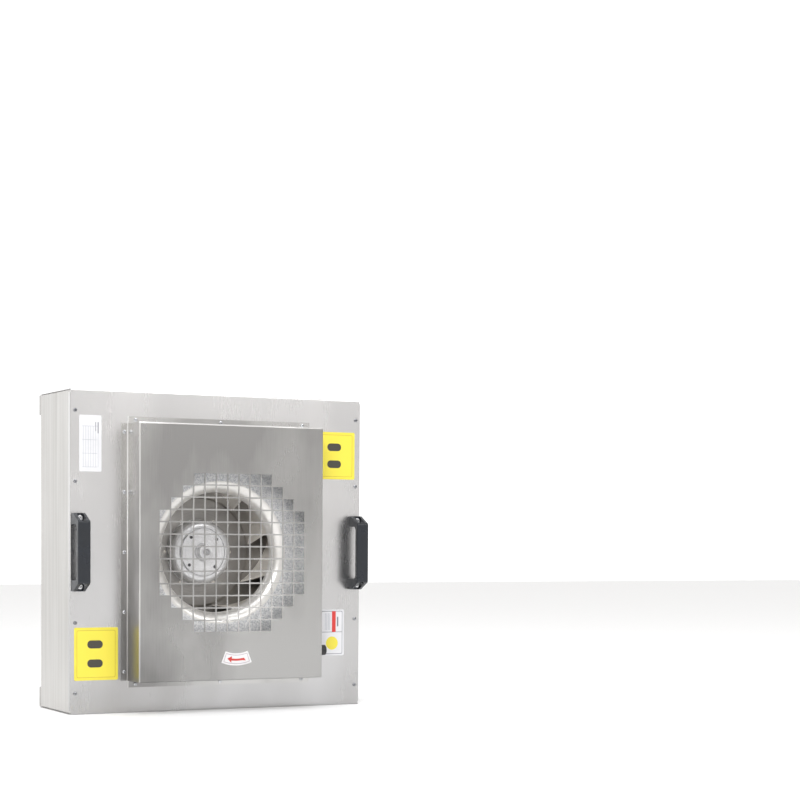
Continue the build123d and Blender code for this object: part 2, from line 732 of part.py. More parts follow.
with BuildPart() as filter_seat:
    with BuildSketch(depth_plane(seat_depth)):
        Rectangle(2 * panel_inside, 2 * pan_inside)
        Rectangle(2 * (panel_inside - seat_width), 2 * (pan_inside - seat_width),
                  mode=Mode.SUBTRACT)
        with Locations(*bracket_rivet_points):
            Circle(rivet_hole, mode=Mode.SUBTRACT)
    extrude(amount=-casing_sheet)
    with BuildSketch(depth_plane(gasket_depth)):
        Rectangle(2 * panel_inside, 2 * pan_inside)
        Rectangle(2 * (panel_inside - casing_sheet), 2 * (pan_inside - casing_sheet),
                  mode=Mode.SUBTRACT)
    extrude(amount=seat_rim)
keep("filter_seat", filter_seat)

bracket_rivet = domed_rivet(rivet, bracket_sheet + casing_sheet)
with BuildPart(depth_plane(bracket_depth)) as bracket_rivets:
    with Locations(*bracket_rivet_points):
        add(bracket_rivet)
keep("bracket_rivets", bracket_rivets)

with BuildPart() as filter_gasket:
    with BuildSketch(depth_plane(gasket_depth)):
        Rectangle(2 * filter_half_width, 2 * filter_half_height)
        Rectangle(2 * (filter_half_width - gasket_width), 2 * (filter_half_height - gasket_width),
                  mode=Mode.SUBTRACT)
    extrude(amount=-gasket_thickness)
keep("filter_gasket", filter_gasket)

corner_signs = ((-1, 1), (1, 1), (1, -1), (-1, -1))
outer_corners = [(x * filter_half_width, y * filter_half_height) for x, y in corner_signs]
inner_corners = [(x * (filter_half_width - rail_flange), y * (filter_half_height - rail_flange))
                 for x, y in corner_signs]
media_half_width = filter_half_width - rail_sheet
media_half_height = filter_half_height - rail_sheet
for start, side in enumerate(("top", "right", "bottom", "left")):
    end = (start + 1) % 4
    with BuildPart() as rail:
        with BuildSketch(depth_plane(filter_front)):
            Polygon(outer_corners[start], outer_corners[end], inner_corners[end],
                    inner_corners[start], align=None)
        extrude(amount=-filter_depth)
        with BuildSketch(depth_plane(filter_front + rail_sheet)):
            Rectangle(2 * media_half_width, 2 * media_half_height)
        extrude(amount=2 * rail_sheet - filter_depth, mode=Mode.SUBTRACT)
        cut_holes(depth_plane(filter_rear - rail_sheet), clip_screw_points,
                  clip_screw[2] + thread_clearance, rail_sheet)
    keep(f"filter_rail_{side}", rail)

media_front = filter_front + rail_sheet + media_inset
fold_depth = filter_depth - 2 * (rail_sheet + media_inset) - media_sheet
pleat_pitch = 2 * media_half_width / pleat_count
front_line = [(-media_half_width + fold * pleat_pitch / 2, media_front + fold % 2 * fold_depth)
              for fold in range(2 * pleat_count + 1)]
rear_line = [(across, depth + media_sheet) for across, depth in reversed(front_line)]
with BuildPart() as filter_media:
    with BuildSketch(fan_section):
        with BuildLine():
            Polyline(*front_line, *rear_line, close=True)
        make_face()
    extrude(amount=media_half_height, both=True)
keep("filter_media", filter_media)

# Corner clips: a leg inside the side panel and a foot over the filter's frame.
clip_front = casing_depth - clip_root
root_top = clip_top - clip_root_drop
root_bottom = clip_top - clip_height
with BuildPart() as corner_clip:
    with BuildSketch(side_section.offset(panel_inside)):
        with BuildLine():
            Polyline((clip_front, root_bottom), (clip_front, root_top), (casing_depth + 1, root_top),
                     (casing_depth + 1, clip_top), (clip_rear, clip_top), (clip_rear, root_bottom),
                     close=True)
        make_face()
    extrude(amount=-clip_sheet)
    with BuildSketch(depth_plane(clip_rear)):
        with Locations((panel_inside - clip_foot / 2, clip_middle)):
            Rectangle(clip_foot, clip_height)
    extrude(amount=clip_sheet)
    bend = corner_clip.edges().filter_by(Axis.Z).group_by(Axis.Y)[-1].sort_by(Axis.X)[-1]
    fillet(bend, clip_sheet)
    foot_corners = corner_clip.edges().filter_by(Axis.Y).group_by(Axis.X)[0]
    fillet(foot_corners, clip_corner)
    root_corners = corner_clip.edges().filter_by(Axis.X).group_by(Axis.Y)[0]
    fillet(root_corners, clip_corner)
    cut_holes(depth_plane(filter_rear), clip_screw_points, clip_screw[2] + screw_clearance,
              clip_sheet)

clip_shapes = [corner_clip.part, corner_clip.part.mirror(Plane.YZ)]
clip_shapes += [shape.mirror(Plane.XY.offset(centre_z)) for shape in clip_shapes]
for number, shape in enumerate(clip_shapes):
    with BuildPart() as filter_clip:
        add(shape)
    keep(f"filter_clip_{number + 1}", filter_clip)

clip_screw_shape = pan_screw(clip_screw)
with BuildPart(Plane(origin=(0, face_y + clip_rear, centre_z), x_dir=(1, 0, 0),
                     z_dir=(0, 1, 0))) as clip_screws:
    with Locations(*clip_screw_points):
        add(clip_screw_shape)
keep("clip_screws", clip_screws)

# ---- handles -------------------------------------------------------------------------------

handle_end = handle_length / 2
slope_end = handle_end - handle_slope
with BuildPart() as handle_right:
    with BuildSketch(side_section.offset(handle_middle - handle_width / 2)):
        with BuildLine():
            Polyline((0, -handle_end), (-handle_shoulder, -handle_end),
                     (-handle_rise, -slope_end), (-handle_rise, slope_end),
                     (-handle_shoulder, handle_end), (0, handle_end), close=True)
        make_face()
        RectangleRounded(2 * (handle_rise - handle_bar), handle_gap_length, handle_gap_corner,
                         mode=Mode.SUBTRACT)
    extrude(amount=handle_width)
    bar_bends = handle_right.edges().filter_by(Axis.X).group_by(Axis.Y)[0]
    fillet(bar_bends, handle_bar / 2)
    side_edges = [edge for cheek in handle_right.faces().filter_by(Axis.X)
                  for edge in cheek.edges() if edge.center().Y < face_y - 0.1]
    fillet(side_edges, handle_edge)
    # pockets for the screws, open towards the ends
    with BuildSketch(depth_plane(-handle_seat)):
        for end in (-1, 1):
            with Locations((handle_middle, end * handle_spacing / 2)):
                Circle(handle_pocket_radius)
            with Locations((handle_middle, end * (handle_spacing + handle_lug
                                                  + handle_pocket_radius) / 2)):
                Rectangle(2 * handle_pocket_radius, handle_lug + handle_pocket_radius)
    extrude(amount=handle_rise, mode=Mode.SUBTRACT)
    cut_holes(depth_plane(-handle_seat), handle_screw_points, cap_screw_hole, handle_seat)
keep("handle_right", handle_right)

with BuildPart() as handle_left:
    mirror(handle_right.part, about=Plane.YZ)
keep("handle_left", handle_left)

with BuildPart() as handle_screws:
    with BuildSketch(depth_plane(-handle_seat)):
        with Locations(*handle_screw_points):
            Circle(cap_screw[0])
    extrude(amount=cap_screw[1])
    fillet(handle_screws.edges().group_by(Axis.Y)[0], 0.5)
    with BuildSketch(depth_plane(-handle_seat)):
        with Locations(*handle_screw_points):
            Circle(cap_screw[2])
    extrude(amount=-cap_screw[3])
    with BuildSketch(depth_plane(-handle_seat - cap_screw[1])):
        with Locations(*handle_screw_points):
            RegularPolygon(cap_screw_socket[0], 6)
    extrude(amount=-cap_screw_socket[1], mode=Mode.SUBTRACT)
keep("handle_screws", handle_screws)

with BuildPart() as handle_nuts:
    with BuildSketch(depth_plane(2 * casing_sheet)):
        with Locations(*handle_screw_points):
            RegularPolygon(nut_radius, 6)
            Circle(cap_screw[2] + thread_clearance, mode=Mode.SUBTRACT)
    extrude(amount=-nut_height)
keep("handle_nuts", handle_nuts)

# ---- electrics in the cover ----------------------------------------------------------------

inner_wall = wall_plane.offset(-cover_sheet)
knob_foot = wall_plane.offset(knob_gap)
with BuildPart() as speed_knob:
    with BuildSketch(knob_foot):
        with Locations((knob_height, 0)):
            Circle(knob_radius)
    extrude(amount=knob_skirt)
    with BuildSketch(knob_foot.offset(knob_skirt)):
        with Locations((knob_height, 0)):
            Circle(knob_radius - 1)
            with PolarLocations(knob_radius - 1 + flute_radius / 2, knob_flutes):
                Circle(flute_radius, mode=Mode.SUBTRACT)
    extrude(amount=knob_length - knob_skirt, taper=2)
    with BuildSketch(knob_foot):
        with Locations((knob_height, 0)):
            Circle(knob_recess_radius)
    extrude(amount=knob_recess, mode=Mode.SUBTRACT)
    with BuildSketch(knob_foot):
        with Locations((knob_height, 0)):
            Circle(control_shaft_radius + press_clearance)
    extrude(amount=knob_recess + control_shaft_grip, mode=Mode.SUBTRACT)
keep("speed_knob", speed_knob)

shaft_tip = knob_gap + knob_recess + control_shaft_grip - lay_clearance
with BuildPart() as control_shaft:
    with BuildSketch(inner_wall.offset(-controller_depth / 2)):
        with Locations((knob_height, 0)):
            Circle(control_shaft_radius)
    extrude(amount=controller_depth / 2 + cover_sheet + shaft_tip)
keep("control_shaft", control_shaft)

with BuildPart() as speed_controller:
    with BuildSketch(inner_wall):
        with Locations((knob_height, 0)):
            RectangleRounded(controller_side, controller_side, moulded_corner)
    extrude(amount=-controller_depth)
    with BuildSketch(inner_wall):
        with Locations((knob_height, 0)):
            Circle(bushing_radius)
    extrude(amount=bushing_length)
    with BuildSketch(inner_wall.offset(bushing_length)):
        with Locations((knob_height, 0)):
            Circle(control_shaft_radius + thread_clearance)
    extrude(amount=-bushing_length - controller_depth / 2 - lay_clearance, mode=Mode.SUBTRACT)
keep("speed_controller", speed_controller)

with BuildPart() as controller_nut:
    with BuildSketch(wall_plane):
        with Locations((knob_height, 0)):
            RegularPolygon(controller_nut_radius, 6)
            Circle(bushing_radius + thread_clearance, mode=Mode.SUBTRACT)
    extrude(amount=controller_nut_height)
keep("controller_nut", controller_nut)

pin_points = [(inlet_height + across, up) for across, up in pin_places]
bezel_face = wall_plane.offset(inlet_bezel_rise)
half_width, half_height = inlet_socket[0] / 2, inlet_socket[1] / 2
with BuildPart() as power_inlet:
    with BuildSketch(wall_plane):
        with Locations((inlet_height, 0)):
            RectangleRounded(*inlet_bezel, moulded_corner)
    extrude(amount=inlet_bezel_rise)
    with BuildSketch(wall_plane):
        with Locations((inlet_height, 0)):
            Rectangle(*inlet_body)
    extrude(amount=-inlet_body_depth)
    with BuildSketch(bezel_face):
        with Locations((inlet_height, 0)):
            Polygon((-half_width, -half_height), (half_width, -half_height),
                    (half_width, half_height - inlet_socket_corner),
                    (half_width - inlet_socket_corner, half_height),
                    (inlet_socket_corner - half_width, half_height),
                    (-half_width, half_height - inlet_socket_corner), align=None)
    extrude(amount=-inlet_socket_depth, mode=Mode.SUBTRACT)
    with BuildSketch(bezel_face):
        with Locations(*pin_points):
            Rectangle(pin_size[0] + 2 * thread_clearance, pin_size[1] + 2 * thread_clearance)
    extrude(amount=-pin_recess - pin_length, mode=Mode.SUBTRACT)
keep("power_inlet", power_inlet)

with BuildPart() as inlet_pins:
    with BuildSketch(bezel_face.offset(-pin_recess)):
        with Locations(*pin_points):
            Rectangle(*pin_size)
    extrude(amount=-pin_length)
keep("inlet_pins", inlet_pins)

# Capacitor lying on the inlet plate under its clip.
capacitor_rise = inlet_sheet + lay_clearance + capacitor_radius
capacitor_section = side_section.offset(capacitor_place[0])
with BuildPart() as run_capacitor:
    with BuildSketch(capacitor_section):
        with Locations((-capacitor_rise, capacitor_place[1])):
            Circle(capacitor_radius)
    extrude(amount=capacitor_length / 2, both=True)
    fillet(run_capacitor.edges().filter_by(GeomType.CIRCLE), 1.5)
keep("run_capacitor", run_capacitor)

arch_radius = capacitor_radius + lay_clearance
foot_span = 2 * (arch_radius + capacitor_clip_sheet + capacitor_clip_foot)
with BuildPart() as capacitor_clip:
    with BuildSketch(capacitor_section):
        with Locations((-capacitor_rise, capacitor_place[1])):
            Circle(arch_radius + capacitor_clip_sheet)
        with Locations((-capacitor_rise / 2 - inlet_sheet / 2, capacitor_place[1])):
            Rectangle(capacitor_rise - inlet_sheet, 2 * (arch_radius + capacitor_clip_sheet))
        with Locations((-inlet_sheet - capacitor_clip_sheet / 2, capacitor_place[1])):
            Rectangle(capacitor_clip_sheet, foot_span)
        with Locations((-capacitor_rise, capacitor_place[1])):
            Circle(arch_radius, mode=Mode.SUBTRACT)
        with Locations((-capacitor_rise / 2, capacitor_place[1])):
            Rectangle(capacitor_rise, 2 * arch_radius, mode=Mode.SUBTRACT)
    extrude(amount=capacitor_clip_width / 2, both=True)
    cut_holes(depth_plane(-inlet_sheet - capacitor_clip_sheet), capacitor_screw_points, screw_hole,
              capacitor_clip_sheet)
keep("capacitor_clip", capacitor_clip)

with BuildPart(depth_plane(-inlet_sheet - capacitor_clip_sheet)) as capacitor_screws:
    with Locations(*capacitor_screw_points):
        add(short_screw_shape)
keep("capacitor_screws", capacitor_screws)

os.makedirs("parts", exist_ok=True)
for name, shape in parts.items():
    export_step(shape, f"parts/{name}.step")
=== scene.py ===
# %% [markdown]
# # Dressing a fan filter unit
# The solid model already has every sheet, blade and screw in its true place.
# This notebook gives each of them its surface: brushed stainless, spangled galvanised
# sheet, spun aluminium, moulded nylon, and the stickers that the unit carries.
# Sizes are written in millimetres and turned into metres where a mesh is made.

# %% Load the frame
import bpy
from math import cos, pi, radians, sin
from mathutils import Matrix, Vector


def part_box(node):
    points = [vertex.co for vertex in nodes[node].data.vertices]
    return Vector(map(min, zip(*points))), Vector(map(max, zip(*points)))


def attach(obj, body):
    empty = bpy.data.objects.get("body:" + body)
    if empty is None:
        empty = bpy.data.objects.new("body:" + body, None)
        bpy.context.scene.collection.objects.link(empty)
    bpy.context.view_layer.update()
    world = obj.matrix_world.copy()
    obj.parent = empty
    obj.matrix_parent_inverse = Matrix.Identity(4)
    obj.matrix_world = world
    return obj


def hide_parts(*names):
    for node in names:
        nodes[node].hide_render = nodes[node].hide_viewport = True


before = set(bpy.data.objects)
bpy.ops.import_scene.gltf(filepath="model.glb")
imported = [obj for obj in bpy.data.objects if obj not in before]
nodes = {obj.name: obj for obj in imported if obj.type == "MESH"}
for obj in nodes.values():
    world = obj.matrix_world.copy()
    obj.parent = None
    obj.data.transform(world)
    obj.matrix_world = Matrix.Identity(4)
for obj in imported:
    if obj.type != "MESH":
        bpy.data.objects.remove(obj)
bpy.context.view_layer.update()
MM = 0.001
face_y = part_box("casing_wrap")[0].y
centre_z = (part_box("casing_wrap")[0].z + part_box("casing_wrap")[1].z) / 2
cover_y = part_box("guard_cover")[0].y
print(len(nodes), "solids; inlet face at y", round(face_y, 5), "axis at z", round(centre_z, 4))


# %% [markdown]
# ## Where things are
# Everything on the unit is set out from the fan's axis: so far across, so far up, and so
# far in front of the inlet face. One small function turns those three numbers, in
# millimetres, into a point of the model, so that no later cell has to add offsets.

# %% A point from the fan's axis
def place(across, up, proud=0.0):
    """Point in metres: across and up from the fan's axis, proud of the inlet face."""
    return Vector((across * MM, face_y - proud * MM, centre_z + up * MM))


print("fan axis meets the face at", tuple(round(v, 4) for v in place(0, 0)))


# %% [markdown]
# ## The camera
# The unit is seen from far away with a long lens, a little from the left and level with
# its lower half, so that upright edges stay upright. The camera could be turned and
# tilted to place the unit in the picture, but tilting makes uprights lean. The lens is
# shifted instead, as on a view camera, and the camera stays nearly level.

# %% Camera
camera_data = bpy.data.cameras.new("product_camera")
picture_side, focal_length = 800, 1902.653
lens_across, lens_down = 344.334, 615.208
film_width = 36
camera_data.sensor_width = film_width
camera_data.lens = film_width * focal_length / picture_side
camera_data.shift_x = (picture_side / 2 - lens_across) / picture_side
camera_data.shift_y = (lens_down - picture_side / 2) / picture_side
camera_data.clip_end = 60
camera = bpy.data.objects.new("product_camera", camera_data)
bpy.context.scene.collection.objects.link(camera)
yaw, pitch, roll = 0.471914, -0.040037, 0.005932
forward = Vector((sin(yaw) * cos(pitch), cos(yaw) * cos(pitch), sin(pitch)))
level = Vector((cos(yaw), -sin(yaw), 0))
upright = level.cross(forward)
right = cos(roll) * level + sin(roll) * upright
up = cos(roll) * upright - sin(roll) * level
turn = Matrix((right, up, -forward)).transposed().to_4x4()
turn.translation = Vector((-1.379465, -3.204455 + face_y, 0.313492))
camera.matrix_world = turn
bpy.context.scene.camera = camera
bpy.context.scene.view_settings.view_transform = "Standard"
print("camera is", round((turn.translation - place(0, 0)).length, 3), "m from the fan")


# %% [markdown]
# ## Light
# Bright sheet metal shows its surroundings more than itself, so the studio around it
# matters. Small lamps would leave hot spots on the steel with black between them. Broad
# soft boxes stand high on both sides and overhead instead, in a room that is white behind
# the unit and greyer behind the camera, which is what the steel reflects.

# %% Studio
def soft_box(name, where, aim, size, power, colour=(1, 1, 1)):
    """A large area lamp at a point, turned towards another point."""
    lamp = bpy.data.lights.new(name, "AREA")
    lamp.shape = "RECTANGLE"
    lamp.size, lamp.size_y = size
    lamp.energy = power
    lamp.color = colour
    box = bpy.data.objects.new(name, lamp)
    bpy.context.scene.collection.objects.link(box)
    box.location = where
    box.rotation_euler = (Vector(aim) - Vector(where)).to_track_quat("-Z", "Y").to_euler()
    return box


soft_box("right_box", (2.0, -4.3, 2.4), (0, 0, 0.4), (2.4, 1.4), 48)
soft_box("left_box", (-2.2, -3.0, 2.5), (0, 0, 0.3), (1.3, 1.6), 85)
soft_box("top_box", (0, -1.0, 3.2), (0, 0, 0.3), (2.2, 1.6), 32, (0.93, 0.96, 1))

world = bpy.data.worlds.new("studio")
bpy.context.scene.world = world
world.use_nodes = True
sky = world.node_tree
sky_coord = sky.nodes.new("ShaderNodeTexCoord")
sky_split = sky.nodes.new("ShaderNodeSeparateXYZ")
sky_ramp = sky.nodes.new("ShaderNodeValToRGB")
sky.links.new(sky_coord.outputs["Generated"], sky_split.inputs[0])
sky.links.new(sky_split.outputs["Y"], sky_ramp.inputs["Fac"])
sky.links.new(sky_ramp.outputs["Color"], sky.nodes["Background"].inputs["Color"])
sky_ramp.color_ramp.elements[0].position = 0.0
sky_ramp.color_ramp.elements[0].color = (0.46, 0.45, 0.44, 1)
sky_ramp.color_ramp.elements[1].position = 0.28
sky_ramp.color_ramp.elements[1].color = (1, 1, 1, 1)
sky.nodes["Background"].inputs["Strength"].default_value = 1.3
print("three soft boxes and a pale room")


# %% [markdown]
# ## A floor to stand on
# The unit stands on its lower side, and without a floor it would seem to hover. A curved
# backdrop is the usual studio answer. A flat sheet is simpler, and it catches the soft
# shadow that seats the unit just as well.

# %% Floor
half_floor = 9
corners = [(-half_floor, -half_floor, 0), (half_floor, -half_floor, 0), (half_floor, half_floor, 0),
           (-half_floor, half_floor, 0)]
floor_mesh = bpy.data.meshes.new("studio_floor")
floor_mesh.from_pydata(corners, [], [(0, 1, 2, 3)])
floor = bpy.data.objects.new("studio_floor", floor_mesh)
bpy.context.scene.collection.objects.link(floor)
print("floor", 2 * half_floor, "m square")


# %% [markdown]
# ## Building a material
# A material is a small network: something reads where a point of the surface is, a
# texture turns that into a number, and the number changes colour, roughness and bump.
# The next functions only save typing; each network is still spelled out in its own cell.

# %% Node helpers
def start_material(name, metallic=0.0, roughness=0.5):
    """A new material with its surface shader, returned with the node tree."""
    material = bpy.data.materials.new(name)
    material.use_nodes = True
    tree = material.node_tree
    surface = tree.nodes["Principled BSDF"]
    surface.inputs["Metallic"].default_value = metallic
    surface.inputs["Roughness"].default_value = roughness
    return material, tree, surface


def feed(tree, source, target):
    """Sets a socket to a number or a colour, or links it to another socket."""
    if hasattr(source, "is_output"):
        tree.links.new(source, target)
    elif isinstance(source, tuple) and len(source) == 3 and target.type == "RGBA":
        target.default_value = (*source, 1)
    else:
        target.default_value = source


def math(tree, operation, first, second=0.0):
    """One Math node."""
    node = tree.nodes.new("ShaderNodeMath")
    node.operation = operation
    feed(tree, first, node.inputs[0])
    feed(tree, second, node.inputs[1])
    return node.outputs[0]


print("materials, sockets and sums can be written")


# %% Colour helpers
def blend(tree, factor, first, second):
    """Mixes two colours by a factor."""
    node = tree.nodes.new("ShaderNodeMix")
    node.data_type = "RGBA"
    feed(tree, factor, node.inputs["Factor"])
    feed(tree, first, node.inputs["A"])
    feed(tree, second, node.inputs["B"])
    return node.outputs["Result"]


def scaled(tree, colour, factor):
    """A colour made lighter or darker by a factor."""
    node = tree.nodes.new("ShaderNodeVectorMath")
    node.operation = "SCALE"
    tree.links.new(colour, node.inputs[0])
    tree.links.new(factor, node.inputs["Scale"])
    return node.outputs[0]


def ramp(tree, value, low, high, to_low, to_high):
    """Maps a range of a value to another range."""
    node = tree.nodes.new("ShaderNodeMapRange")
    feed(tree, value, node.inputs["Value"])
    for key, number in zip(("From Min", "From Max", "To Min", "To Max"), (low, high, to_low, to_high)):
        node.inputs[key].default_value = number
    return node.outputs["Result"]


def bump(tree, height, surface, strength, distance):
    """Tilts the surface by a height, in metres when the strength is 1."""
    node = tree.nodes.new("ShaderNodeBump")
    node.inputs["Strength"].default_value = strength
    node.inputs["Distance"].default_value = distance
    feed(tree, height, node.inputs["Height"])
    tree.links.new(node.outputs["Normal"], surface.inputs["Normal"])


def spot(tree):
    """Object coordinates of the surface."""
    return tree.nodes.new("ShaderNodeTexCoord").outputs["Object"]


def dress(material, *names):
    """Gives solids a material."""
    for name in names:
        nodes[name].data.materials.clear()
        nodes[name].data.materials.append(material)


print("colours can be blended, scaled and spread")


# %% [markdown]
# ## Reading a surface
# Much of the wear and the marks on this unit is set out round the fan's axis. A texture
# painted on each piece could carry it, but it would need an unwrapped mesh and a picture.
# Measuring the distance from the axis inside the material gives clean circles at any
# size. A finish can then be changed later by reading what already feeds its surface.

# %% Distance from the axis
def from_axis(tree):
    """Distance of the surface from the fan's axis, in metres."""
    middle = tree.nodes.new("ShaderNodeVectorMath")
    middle.operation = "SUBTRACT"
    tree.links.new(spot(tree), middle.inputs[0])
    middle.inputs[1].default_value = (0, 0, centre_z)
    flat = tree.nodes.new("ShaderNodeVectorMath")
    flat.operation = "MULTIPLY"
    tree.links.new(middle.outputs[0], flat.inputs[0])
    flat.inputs[1].default_value = (1, 0, 1)
    length = tree.nodes.new("ShaderNodeVectorMath")
    length.operation = "LENGTH"
    tree.links.new(flat.outputs[0], length.inputs[0])
    return length.outputs["Value"]


def current(surface, name):
    """The socket that feeds an input of the surface shader."""
    return surface.inputs[name].links[0].from_socket


print("distance from the axis and current sockets can be read")


# %% [markdown]
# ## Shared effect: rolled grain
# Stainless sheet is finished with abrasive belts, which leave fine parallel lines, and
# handling leaves cloudy smudges over them. A scanned picture could hold both, but it
# would repeat on a sheet this large. Both are drawn as noise instead: the grain is noise
# squeezed across the belt's direction, and the smudges are noise left wide.

# %% New group
def new_group(name, inputs, outputs):
    """An empty shader node group with named sockets and their defaults."""
    group = bpy.data.node_groups.new(name, "ShaderNodeTree")
    for label, kind, value in inputs:
        socket = group.interface.new_socket(label, in_out="INPUT", socket_type=kind)
        if value is not None:
            socket.default_value = value
    for label, kind in outputs:
        group.interface.new_socket(label, in_out="OUTPUT", socket_type=kind)
    return group, group.nodes.new("NodeGroupInput"), group.nodes.new("NodeGroupOutput")


FLOAT, VECTOR = "NodeSocketFloat", "NodeSocketVector"
print("groups take", FLOAT, "and", VECTOR)

# %% Group: rolled grain
grain_group, grain_in, grain_out = new_group(
    "rolled_grain",
    [("Vector", VECTOR, None), ("Line scale", VECTOR, (2600, 2600, 24)), ("Line amount", FLOAT, 0.3),
     ("Cloud scale", VECTOR, (7, 7, 3.5)), ("Cloud amount", FLOAT, 0.5)],
    [("Level", FLOAT), ("Height", FLOAT)])
squeeze = grain_group.nodes.new("ShaderNodeVectorMath")
squeeze.operation = "MULTIPLY"
grain_group.links.new(grain_in.outputs["Vector"], squeeze.inputs[0])
grain_group.links.new(grain_in.outputs["Line scale"], squeeze.inputs[1])
lines = grain_group.nodes.new("ShaderNodeTexNoise")
lines.inputs["Scale"].default_value = 1.0
lines.inputs["Detail"].default_value = 3.0
grain_group.links.new(squeeze.outputs[0], lines.inputs["Vector"])
cloud = grain_group.nodes.new("ShaderNodeTexNoise")
cloud.inputs["Detail"].default_value = 4.0
cloud.inputs["Scale"].default_value = 1.0
drift = grain_group.nodes.new("ShaderNodeVectorMath")
drift.operation = "MULTIPLY"
grain_group.links.new(grain_in.outputs["Vector"], drift.inputs[0])
grain_group.links.new(grain_in.outputs["Cloud scale"], drift.inputs[1])
grain_group.links.new(drift.outputs[0], cloud.inputs["Vector"])
parts = []
for texture, amount in ((lines, "Line amount"), (cloud, "Cloud amount")):
    level = math(grain_group, "SUBTRACT", texture.outputs["Fac"], 0.5)
    parts.append(math(grain_group, "MULTIPLY", level, grain_in.outputs[amount]))
whole = math(grain_group, "ADD", math(grain_group, "ADD", parts[0], parts[1]), 0.5)
grain_group.links.new(whole, grain_out.inputs["Level"])
grain_group.links.new(lines.outputs["Fac"], grain_out.inputs["Height"])
print("grain group has", len(grain_group.nodes), "nodes")


# %% Placing a group
def use(tree, group, **values):
    """Places a node group in a material with its own values."""
    node = tree.nodes.new("ShaderNodeGroup")
    node.node_tree = group
    for label, value in values.items():
        feed(tree, value, node.inputs[label.replace("_", " ")])
    return node


print("groups can be placed with their own values")


# %% [markdown]
# ## Stainless sheet
# The face, the sides and the cover come from different sheets, and each one reflects a
# little differently. A picture of steel would be quicker, but it would repeat and blur
# up close, so one function builds the finish from noise, and each sheet gets its own
# tone, belt direction and smudges.

# %% Stainless finish
def stainless(name, tone, shade, roughness, lines, clouds, cloud_scale=(7, 7, 3.5), line_amount=0.3,
              metallic=1.0):
    """Belt-finished steel: two tones, roughness, grain direction and smudges."""
    material, tree, surface = start_material(name, metallic=metallic, roughness=roughness)
    grain = use(tree, grain_group, Vector=spot(tree), Line_scale=lines, Line_amount=line_amount,
                Cloud_scale=cloud_scale, Cloud_amount=clouds)
    level = ramp(tree, grain.outputs["Level"], 0.3, 0.7, 0, 1)
    tree.links.new(blend(tree, level, shade, tone), surface.inputs["Base Color"])
    tree.links.new(ramp(tree, grain.outputs["Level"], 0.3, 0.7, roughness + 0.05, roughness - 0.05),
                   surface.inputs["Roughness"])
    bump(tree, grain.outputs["Height"], surface, 0.02, 0.00002)
    return material, tree, surface


print("stainless can be mixed")

# %% Stainless on the sheets
face_steel, face_tree, face_surface = stainless(
    "face_stainless", (0.78, 0.775, 0.78), (0.68, 0.67, 0.665), 0.27, (1500, 1500, 40), 1.0,
    line_amount=0.15)
side_steel, _, _ = stainless("side_stainless", (0.62, 0.61, 0.595), (0.53, 0.52, 0.50), 0.4,
                             (160, 160, 3), 0.5, line_amount=0.7)
cover_steel, cover_tree, cover_surface = stainless(
    "cover_stainless", (0.55, 0.545, 0.535), (0.30, 0.295, 0.29), 0.28, (700, 700, 20), 1.8,
    (4.5, 4.5, 2.4), 0.1)
clip_steel, _, _ = stainless("clip_stainless", (0.48, 0.47, 0.455), (0.34, 0.33, 0.32), 0.34,
                             (900, 900, 60), 0.6)
dress(face_steel, "casing_wrap")
dress(side_steel, "side_panel_left", "side_panel_right")
dress(cover_steel, "guard_cover")
dress(clip_steel, "filter_clip_1", "filter_clip_2", "filter_clip_3", "filter_clip_4")
print("stainless on 8 solids")


# %% [markdown]
# ## Painted shade and painted highlights
# The face and the cover are painted darker towards the foot, as shade. On the guard, the
# bends, the walls behind its front and the grid round the axis are painted brighter, as
# highlights. Bevelled edges would catch real light at the bends, but they would change the
# sheet's shape. Masks that read the place on the sheet leave the shape alone.

# %% Painted shade towards the foot
# Painted shade: the face and the cover are scaled darker towards the foot.
for tree, surface, foot in ((face_tree, face_surface, 0.66), (cover_tree, cover_surface, 0.72)):
    height = tree.nodes.new("ShaderNodeSeparateXYZ")
    tree.links.new(spot(tree), height.inputs[0])
    painted_foot_shade = ramp(tree, height.outputs["Z"], 0.03, 0.40, foot, 1.0)
    tree.links.new(scaled(tree, current(surface, "Base Color"), painted_foot_shade), surface.inputs["Base Color"])
print("sheets dull towards the foot")

# %% Painted highlights on the guard
front = [v.co for v in nodes["guard_cover"].data.vertices if v.co.y < cover_y + MM]
cover_left, cover_top = min(v.x for v in front), max(v.z for v in front)
cover_spot = cover_tree.nodes.new("ShaderNodeSeparateXYZ")
cover_tree.links.new(spot(cover_tree), cover_spot.inputs[0])


def near(axis, edge, reach):
    """1 where the cover is close to a plane, 0 beyond the reach."""
    gap = math(cover_tree, "ABSOLUTE", math(cover_tree, "SUBTRACT", cover_spot.outputs[axis], edge))
    return ramp(cover_tree, gap, reach * 0.6, reach, 1, 0)


def bend_highlight(first, second):
    """Painted highlight: brighter where two planes meet, for the light a rounded bend would catch."""
    return ramp(cover_tree, math(cover_tree, "MULTIPLY", first, second), 0, 1, 1.0, 1.9)


front_bend, root_bend = near("Y", cover_y, 2.2 * MM), near("Y", face_y, 3.2 * MM)
left_bend, top_bend = near("X", cover_left, 2.2 * MM), near("Z", cover_top, 2.2 * MM)
# Painted highlights: brighter on the grid round the axis, on the walls behind the front and at the bends.
for painted_highlight in (ramp(cover_tree, from_axis(cover_tree), 0.120, 0.150, 1.3, 1.0),
               ramp(cover_tree, cover_spot.outputs["Y"], cover_y + 1.5 * MM, cover_y + 3 * MM, 1.0, 1.35),
               bend_highlight(front_bend, left_bend), bend_highlight(front_bend, top_bend), bend_highlight(root_bend, left_bend)):
    cover_tree.links.new(scaled(cover_tree, current(cover_surface, "Base Color"), painted_highlight),
                         cover_surface.inputs["Base Color"])
print("guard's left edge at x", round(cover_left, 4), "top edge at z", round(cover_top, 4))


